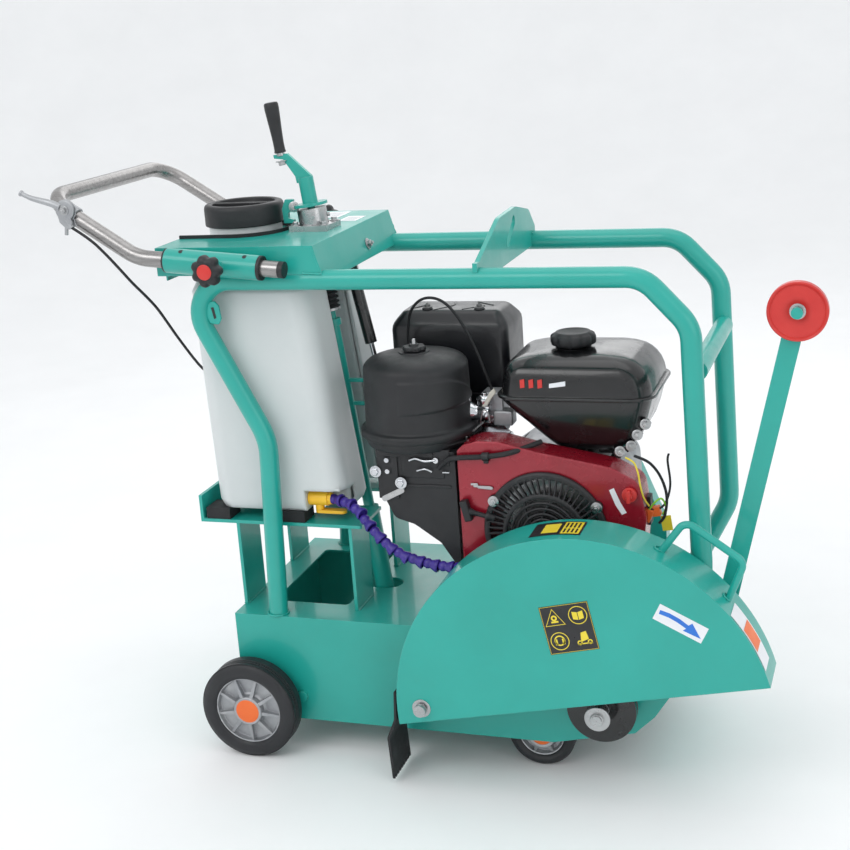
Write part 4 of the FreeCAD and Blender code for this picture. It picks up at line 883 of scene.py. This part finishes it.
# carburettor: chrome throat, cover plate, throttle arms, return spring, clip
lathe([(0, 0), (17, 0), (18.5, 1.5), (18.5, 8), (14, 14), (13, 24), (16, 30), (16, 42), (0, 42)],
    (432, -62, 604), (1, 0, -0.08), 40)
lathe([(0, 0), (12, 0), (13, 1.4), (13, 16), (9, 20), (5, 21), (5, 26), (0, 26)], (462, -56, 612),
    (0.1, -0.15, 1), 30)
puck(6, 0, 7, (438, -72, 626), Z, 6)
prism([(421, 556), (428, 566), (446, 580), (452, 596), (470, 598), (482, 590), (500, 572), (515, 557)],
    "XZ", -52, -50)
prism([(424, 556), (513, 556), (509, 566), (430, 566)], "XZ", -74, -50)
piece("carburettor_chrome", CHROME, "chassis", ["carburettor"], bevel=0.8)
slab((455, -50, 560), (494, -10, 634))
slab((456, -46, 540), (480, -10, 562))
slab((478, -60, 578), (512, -30, 604))
piece("carburettor_body", ALUMINIUM, "chassis", bevel=3, segments=3)
spring = []
for k in range(90):
    a = 2 * math.pi * k / 8
    along = k / 89.0
    middle = Vector((436, -98, 566)).lerp(Vector((470, -92, 594)), along)
    spring.append(middle + Vector((math.sin(a) * 0.5, math.cos(a), math.sin(a))) * 2.6)
rod(spring, 0.55, 6)
rod(flowing([(419, -104, 563), (440, -106, 561), (520, -104, 554), (596, -102, 547), (598, -102, 543)], 4),
    1.1, 8)
rod(flowing([(462, -84, 590), (468, -86, 612), (476, -84, 608), (478, -82, 590)], 5), 1.3, 8)
prism([(430, 580), (434, 580), (435, 572), (441, 572), (441, 564), (444, 564), (444, 575), (440, 582),
    (436, 590), (430, 590)], "XZ", -108, -106)
puck(5.5, 0, 2.5, (511, -104, 558), RIGHT, 6)
puck(3, 0, 2.5, (597, -102, 546), RIGHT, 10)
piece("governor_rod_and_arms", STEEL, "chassis", sharp=40)
prism([(461, 622), (470, 628), (476, 640), (484, 647), (488, 640), (480, 630), (472, 618), (463, 614)],
    "XZ", -70, -64)
piece("fuel_hose_clip", surface("clip_plastic", (0.62, 0.60, 0.52), (0.70, 0.68, 0.60), 0.45, grain=20,
    edge=0.8), "chassis", bevel=1.2)
rod(flowing([(404, -152, 528), (411, -154, 536), (424, -156, 546), (445, -157, 550), (475, -157, 552),
    (503, -156.5, 555), (530, -154, 560), (556, -138, 566), (576, -118, 570)], 8), 4.6, 16)
rod(flowing([(398, -148, 560), (420, -140, 566), (448, -110, 566), (470, -90, 566)], 6), 2.6, 12)
piece("breather_hose", RUBBER, "chassis")
puck(7.2, -6, 6, (489, -156.6, 553.5), (1, 0, 0.09), 20)
slab((485, -158, 541), (493, -153, 550))
piece("hose_clip", BLACK, "chassis", bevel=0.8)

# shroud furniture
prism([(459, 504), (471, 504.5), (472, 500), (492, 500), (497, 498.5), (498, 495.5), (495, 493.5),
    (472, 495), (470, 497), (464, 497), (463, 500.5), (459, 500)], "XZ", -153.4, -150.4)
piece("stop_lever", STEEL, "chassis", bevel=0.6)
prism([(694, 500), (702, 504), (712, 480), (722, 462), (714, 458), (704, 474)], "XZ", -149.9, -149.6)
piece("shroud_sticker", LABEL_WHITE, "chassis")
turned_piece("engine_switch_knob", [(0, 0), (11.5, 0), (12.4, 1), (12.4, 5), (11, 6), (6.2, 6.4), (5.6, 13),
    (4.6, 14), (0, 14)], (728, -149.8, 494), RIGHT, RED_PLASTIC, "switch", ["engine_switch"],
    seg=40)
slab((724.6, -166.5, 483), (731.4, -155.6, 505))
piece("engine_switch_bar", RED_PLASTIC, "switch", bevel=1.6)
wires = (("wire_black_a", RUBBER, 2.4, [(737, -148, 560), (760, -140, 546), (776, -132, 520),
    (784, -126, 486), (780, -124, 452), (770, -122, 436)]), ("wire_black_b", RUBBER, 1.9,
    [(748, -130, 470), (764, -128, 462), (780, -120, 470), (788, -112, 500), (784, -108, 540),
    (786, -106, 552)]), ("wire_yellow", LABEL_YELLOW, 1.5, [(722, -146, 556), (736, -148, 548),
    (743, -152, 532), (746, -152, 512), (750, -146, 488), (756, -134, 470)]),
    ("wire_green", WIRE_GREEN, 1.6, [(752, -128, 456), (764, -132, 474), (776, -130, 482), (782, -124, 466),
    (776, -122, 452)]))
for name, colour, radius, route in wires:
    rod(flowing(route, 10), radius, 10)
    piece(name, colour, "chassis")
slab((748, -132, 440), (760, -116, 462), tip(24), (754, -124, 451))
slab((759, -130, 450), (773, -116, 466), tip(-12), (766, -123, 458))
piece("wire_connectors", ORANGE, "chassis", bevel=1.2)
slab((774, -123, 424), (791, -121.6, 450), tip(-8), (782, -122, 437))
piece("wire_tag", LABEL_YELLOW, "chassis")
slab((742, -118, 430), (756, -96, 480))
piece("ignition_box", BLACK, "chassis", bevel=1.6)

# muffler: folded skin, pressed grooves, bolts
stack([(290, 46, 464, 136, 10, 606.4), (280, 38, 474, 144, 13, 608), (272, 32, 482, 149, 15, 614),
    (269, 29, 485, 151.5, 16, 626), (268.4, 28.4, 485.6, 151.6, 16, 640),
    (268.4, 28.4, 485.6, 151.6, 16, 724), (269.4, 29.4, 484.6, 150.8, 16, 731),
    (272, 32, 482, 148, 16, 737), (276.6, 36.6, 477, 143.6, 16, 743.6),
    (282.6, 42.6, 471, 138.4, 15, 750.6), (285.6, 45.6, 467.6, 135.4, 14, 754),
    (290, 50, 463, 131, 12, 756.6), (297, 57, 456, 124, 10, 757.6)])
slab((392, 32, 554), (440, 62, 610))
piece("muffler_skin", MUFFLER_BLACK, "chassis", ["muffler"], sharp=26)
for line in ([(300, 60, 757.4), (322, 92, 757.6)], [(346, 52, 757.2), (372, 88, 757.6), (366, 120, 757.6)],
        [(398, 56, 757.2), (432, 84, 757.6)], [(410, 118, 757.6), (446, 90, 757.6)]):
    rod(flowing(line, 5), 1.5, 8)
for x, y in MUFFLER_BOLTS:
    lathe([(0, 0), (10, 0), (10, 2.2), (8, 3.2), (0, 3.2)], (x, y, 757), Z, 28)
piece("muffler_ribs", MUFFLER_BLACK, "chassis")
for x, y in MUFFLER_BOLTS:
    hex_bolt((x, y, 760), Z, 9, stud=2)
piece("muffler_bolts", IRON, "chassis", sharp=30)
turned_piece("exhaust_mouth", [(12, 0), (14.5, 0), (14.5, 15), (12, 15)], (300, 150, 700), (0, 1, 0), IRON,
    "chassis", seg=36, closed=True)

# ---------------------------------------------------------------- controls, handle, tank, crank

SLOPE = math.tan(math.radians(5.1))


def sleeve_z(x):
    return 893.1 - SLOPE * (x - 68.0)


def star(a, h):
    return 1 - (0.17 * (0.5 + 0.5 * math.cos(7 * a)) ** 1.5 if 12.5 < h < 33 else 0.0)


for side, out in (("right", -1), ("left", 1)):
    turned_piece("star_knob_" + side, [(0, 0.2), (9, 0.2), (9, 9), (13, 12), (24.4, 13), (26.4, 15),
        (27, 19), (27, 26), (25.6, 30), (22, 32.8), (17, 33.6), (14, 33.6), (13.4, 32.6), (0, 32.6)],
        (68, out * 246, 893.1), (0, out, 0), BLACK, "knob_" + side, ["clamp_knob_" + side],
        seg=154, shape=star, sharp=48)
    turned_piece("star_knob_disc_" + side, [(0, 32.7), (13, 32.7), (13, 33.4), (12, 34), (0, 34)],
        (68, out * 246, 893.1), (0, out, 0), RED_PLASTIC, "knob_" + side, seg=40)
for out in (-1, 1):
    for x, low, high in ((-31, -4, 2), (137, -2, 5)):
        lathe([(14.3, low), (19.4, low), (20.6, low + 1), (20.6, high), (14.3, high)],
            (x, out * 212, sleeve_z(x)), (1, 0, -SLOPE), 44, closed=True)
piece("sleeve_bushes", BLACK, "chassis")
for out in (-1, 1):
    for x in (-4, 112):
        puck(4.2, 20.4, 21.3, (x, out * 212, sleeve_z(x)), (0.2, out * 0.5, 1), 18)
piece("sleeve_plugs", BLACK, "chassis")
for out in (-1, 1):
    ring = ring_line((68, out * 233.2, 893.1), (0, out, 0), 11.6, 26)
    weld(ring, 1.9)
    weld([(-18 + 4.5 * k, out * 193.5, sleeve_z(-18 + 4.5 * k) + 9.5) for k in range(31)], 1.8)
    weld([(-18 + 4.5 * k, out * 193.5, sleeve_z(-18 + 4.5 * k) - 9.5) for k in range(31)], 1.8)
    weld([(222 + 18.6 * k / 14, out * 189.6, 917 - 58.0 * k / 14) for k in range(15)], 1.8)
    weld([(236 - 4.6 * k, out * 190.4, 872 + 0.2 * k) for k in range(8)], 2.0)
    weld(ring_line((90.6, out * 177, 254), Z, 18.6, 44), 2.3)
    for x in (11, 17.4, 227, 233.4):
        low, high = sorted((out * 67, out * 147))
        weld([(x, low + (high - low) * k / 26, 254) for k in range(27)], 1.9)
        if x in (11, 227):
            weld([(x, low + (high - low) * k / 26, 409.4) for k in range(27)], 1.6)
    weld([(500 - 4.6, out * (164 + 1.2 * k), 873 + 0.18 * k) for k in range(12)], 2.0)
    weld([(500 + 4.6, out * (164 + 1.2 * k), 873 + 0.18 * k) for k in range(12)], 2.0)
piece("frame_welds", GREEN, "chassis", sharp=60)
prism([(6, 822), (32, 825), (39, 817), (42, 794), (36, 784), (20, 786)], "XZ", -183.5, -178.5)
piece("hose_bracket", GREEN, "chassis", bevel=1.5)
# a thin black sheet in the slot's shape: painted shade for the dark opening, the slot itself is not cut
prism([(25, 814), (30, 815), (33.5, 796), (29, 794)], "XZ", -183.9, -183.4)
piece("hose_bracket_slot_shade", LABEL_BLACK, "chassis")

# throttle: clamp and body on the handle, cast lever on the pivot
tube_dir = Vector((-162, 0, 105)).normalized()
lathe([(14.1, -9), (17.2, -9), (18, -8), (18, 8), (17.2, 9), (14.1, 9)], (-204, -212, 982.2), tube_dir, 44,
    closed=True)
lathe([(0, 0), (17.5, 0), (19, 1.2), (19, 4), (0, 4)], (-204, -226.6, 993), RIGHT, 44)
slab((-212, -228, 962), (-192, -214, 990), tip(-18), (-202, -222, 976))
rod(flowing([(-206, -230.5, 984), (-202, -231.4, 974), (-196, -231.8, 963)], 5), [5.2] * 11, 14)
rod([(-212, -222, 964), (-214, -222, 950)], 3.2, 12)
piece("throttle_body", ALUMINIUM, "handle", bevel=1.2, segments=3)
lathe([(0, 4.2), (17, 4.2), (17.8, 5), (17.8, 8), (16, 9.6), (9, 10), (0, 10)], (-204, -226.6, 994), RIGHT,
    44)
lever = flowing([(-212, -233.4, 999), (-228, -234, 1006), (-246, -234.6, 1011), (-264, -235, 1016),
    (-276, -235, 1021), (-285.5, -235, 1026)], 6)
rod(lever, [6.6 - 2.6 * min(1.0, k / 22.0) + (1.6 if k > 27 else 0.0) for k in range(len(lever))], 16)
prism([(-218, 985), (-206, 981), (-196, 986), (-192, 972), (-198, 962), (-206, 964), (-216, 974)], "XZ",
    -236, -231)
piece("throttle_lever_cast", ALUMINIUM, "throttle", ["throttle_lever"], bevel=1.6, segments=3)
hex_bolt((-204, -236.4, 994), RIGHT, 9, stud=1.6)
piece("throttle_screw", STEEL, "throttle", sharp=30)

# tank cap, valve
lathe([(65.7, 932.4), (70, 932.4), (71, 933.6), (71, 962), (70.2, 966), (68, 968.8), (64.5, 969.9),
    (58.5, 969.9), (56, 968.8), (54.6, 962.4), (52.6, 960.6), (0, 960.6)], (26, -15, 0), Z, 140,
    shape=lambda a, h: 1 - (0.004 * (0.5 + 0.5 * math.cos(70 * a)) if 934 < h < 962 else 0.0))
for k in range(2):
    slab((26 - 55, -15 - 7 + 9 * k, 960.2), (26 + 55, -15 - 2 + 9 * k, 968.6))
slab((26 - 50, -15 - 6, 960.2), (26 + 50, -15 + 6, 964.6))
piece("tank_cap_black", BLACK, "cap", ["tank_cap"], sharp=36, bevel=0.8)
turned_piece("valve_nut", [(0, 0), (11.5, 0), (11.5, 9), (0, 9)], (184, -125, 456), (1, 0, 0), YELLOW,
    "chassis", seg=8, sharp=30, bevel=0.8)

# depth crank: grip, folded arm fittings, bearing flange screws, bellows
SCREW = Vector((-0.112839, 0, 0.993613))
turned_piece("crank_grip_black", [(0, 0), (9.6, 0), (10.4, 1.6), (9.6, 5), (9.4, 16), (10.2, 36),
    (11.8, 60), (12.8, 76), (12.6, 84), (11, 87), (7, 87.8), (0, 87.8)], (106.4, -15, 1053.5), SCREW, BLACK,
    "grip", ["crank_grip"], seg=48)
hex_bolt((106.4 + 1.6, -15, 1040), -SCREW, 12)
puck(7, 0, 5, (107, -15, 1048.4), SCREW, 26)
piece("crank_arm_fittings", STEEL, "crank", sharp=30)
for x in (134, 186):
    for y in (-41, 11):
        hex_bolt((x, y, 929), Z, 9)
for angle in (-70, 20):
    a = math.radians(angle)
    hex_bolt((158 + 25.6 * math.cos(a), -15 + 25.6 * math.sin(a), 943), (math.cos(a), math.sin(a), 0), 7,
        washer=False)
hex_bolt((234.6, 40, 881), (0.961, 0, 0.276), 11, stud=4)
hex_bolt((128, -26.5, 960), (0.2, -1, 0), 10, stud=3)
piece("control_bolts", STEEL, "chassis", sharp=30)
boot = []
for k in range(14):
    boot += [(17.8, 1.5 + 8.2 * k), (17.8, 3.4 + 8.2 * k), (13.4, 6.2 + 8.2 * k), (13.4, 7.4 + 8.2 * k)]
boot_foot = (247 - (776 - 150) * 0.113565, -15, 776)
turned_piece("screw_bellows", [(8.6, 0), (14, 0)] + [spot for spot in boot if spot[1] < 112.5] + [(13, 113),
    (8.6, 113)], boot_foot, SCREW, RUBBER, "chassis", ["screw_boot"], seg=48, closed=True,
    sharp=30)
turned_piece("bellows_band", [(12, -3.4), (16.8, -3.4), (16.8, 3.4), (12, 3.4)], boot_foot, SCREW, STEEL,
    "chassis", seg=44, closed=True)

# labels on the control box (no lettering)
slab((112, 104, 919.05), (156, 176, 919.4))
slab((172, 62, 919.05), (206, 118, 919.4))
piece("control_labels", LABEL_WHITE, "chassis")
for k in range(5):
    slab((118, 112 + 12 * k, 919.4), (150, 116 + 12 * k, 919.55))
for k in range(3):
    slab((177, 70 + 14 * k, 919.4), (201, 74 + 14 * k, 919.55))
piece("control_label_bars", surface("label_grey", (0.30, 0.31, 0.32), (0.36, 0.37, 0.38), 0.4, grain=30,
    edge=0), "chassis")
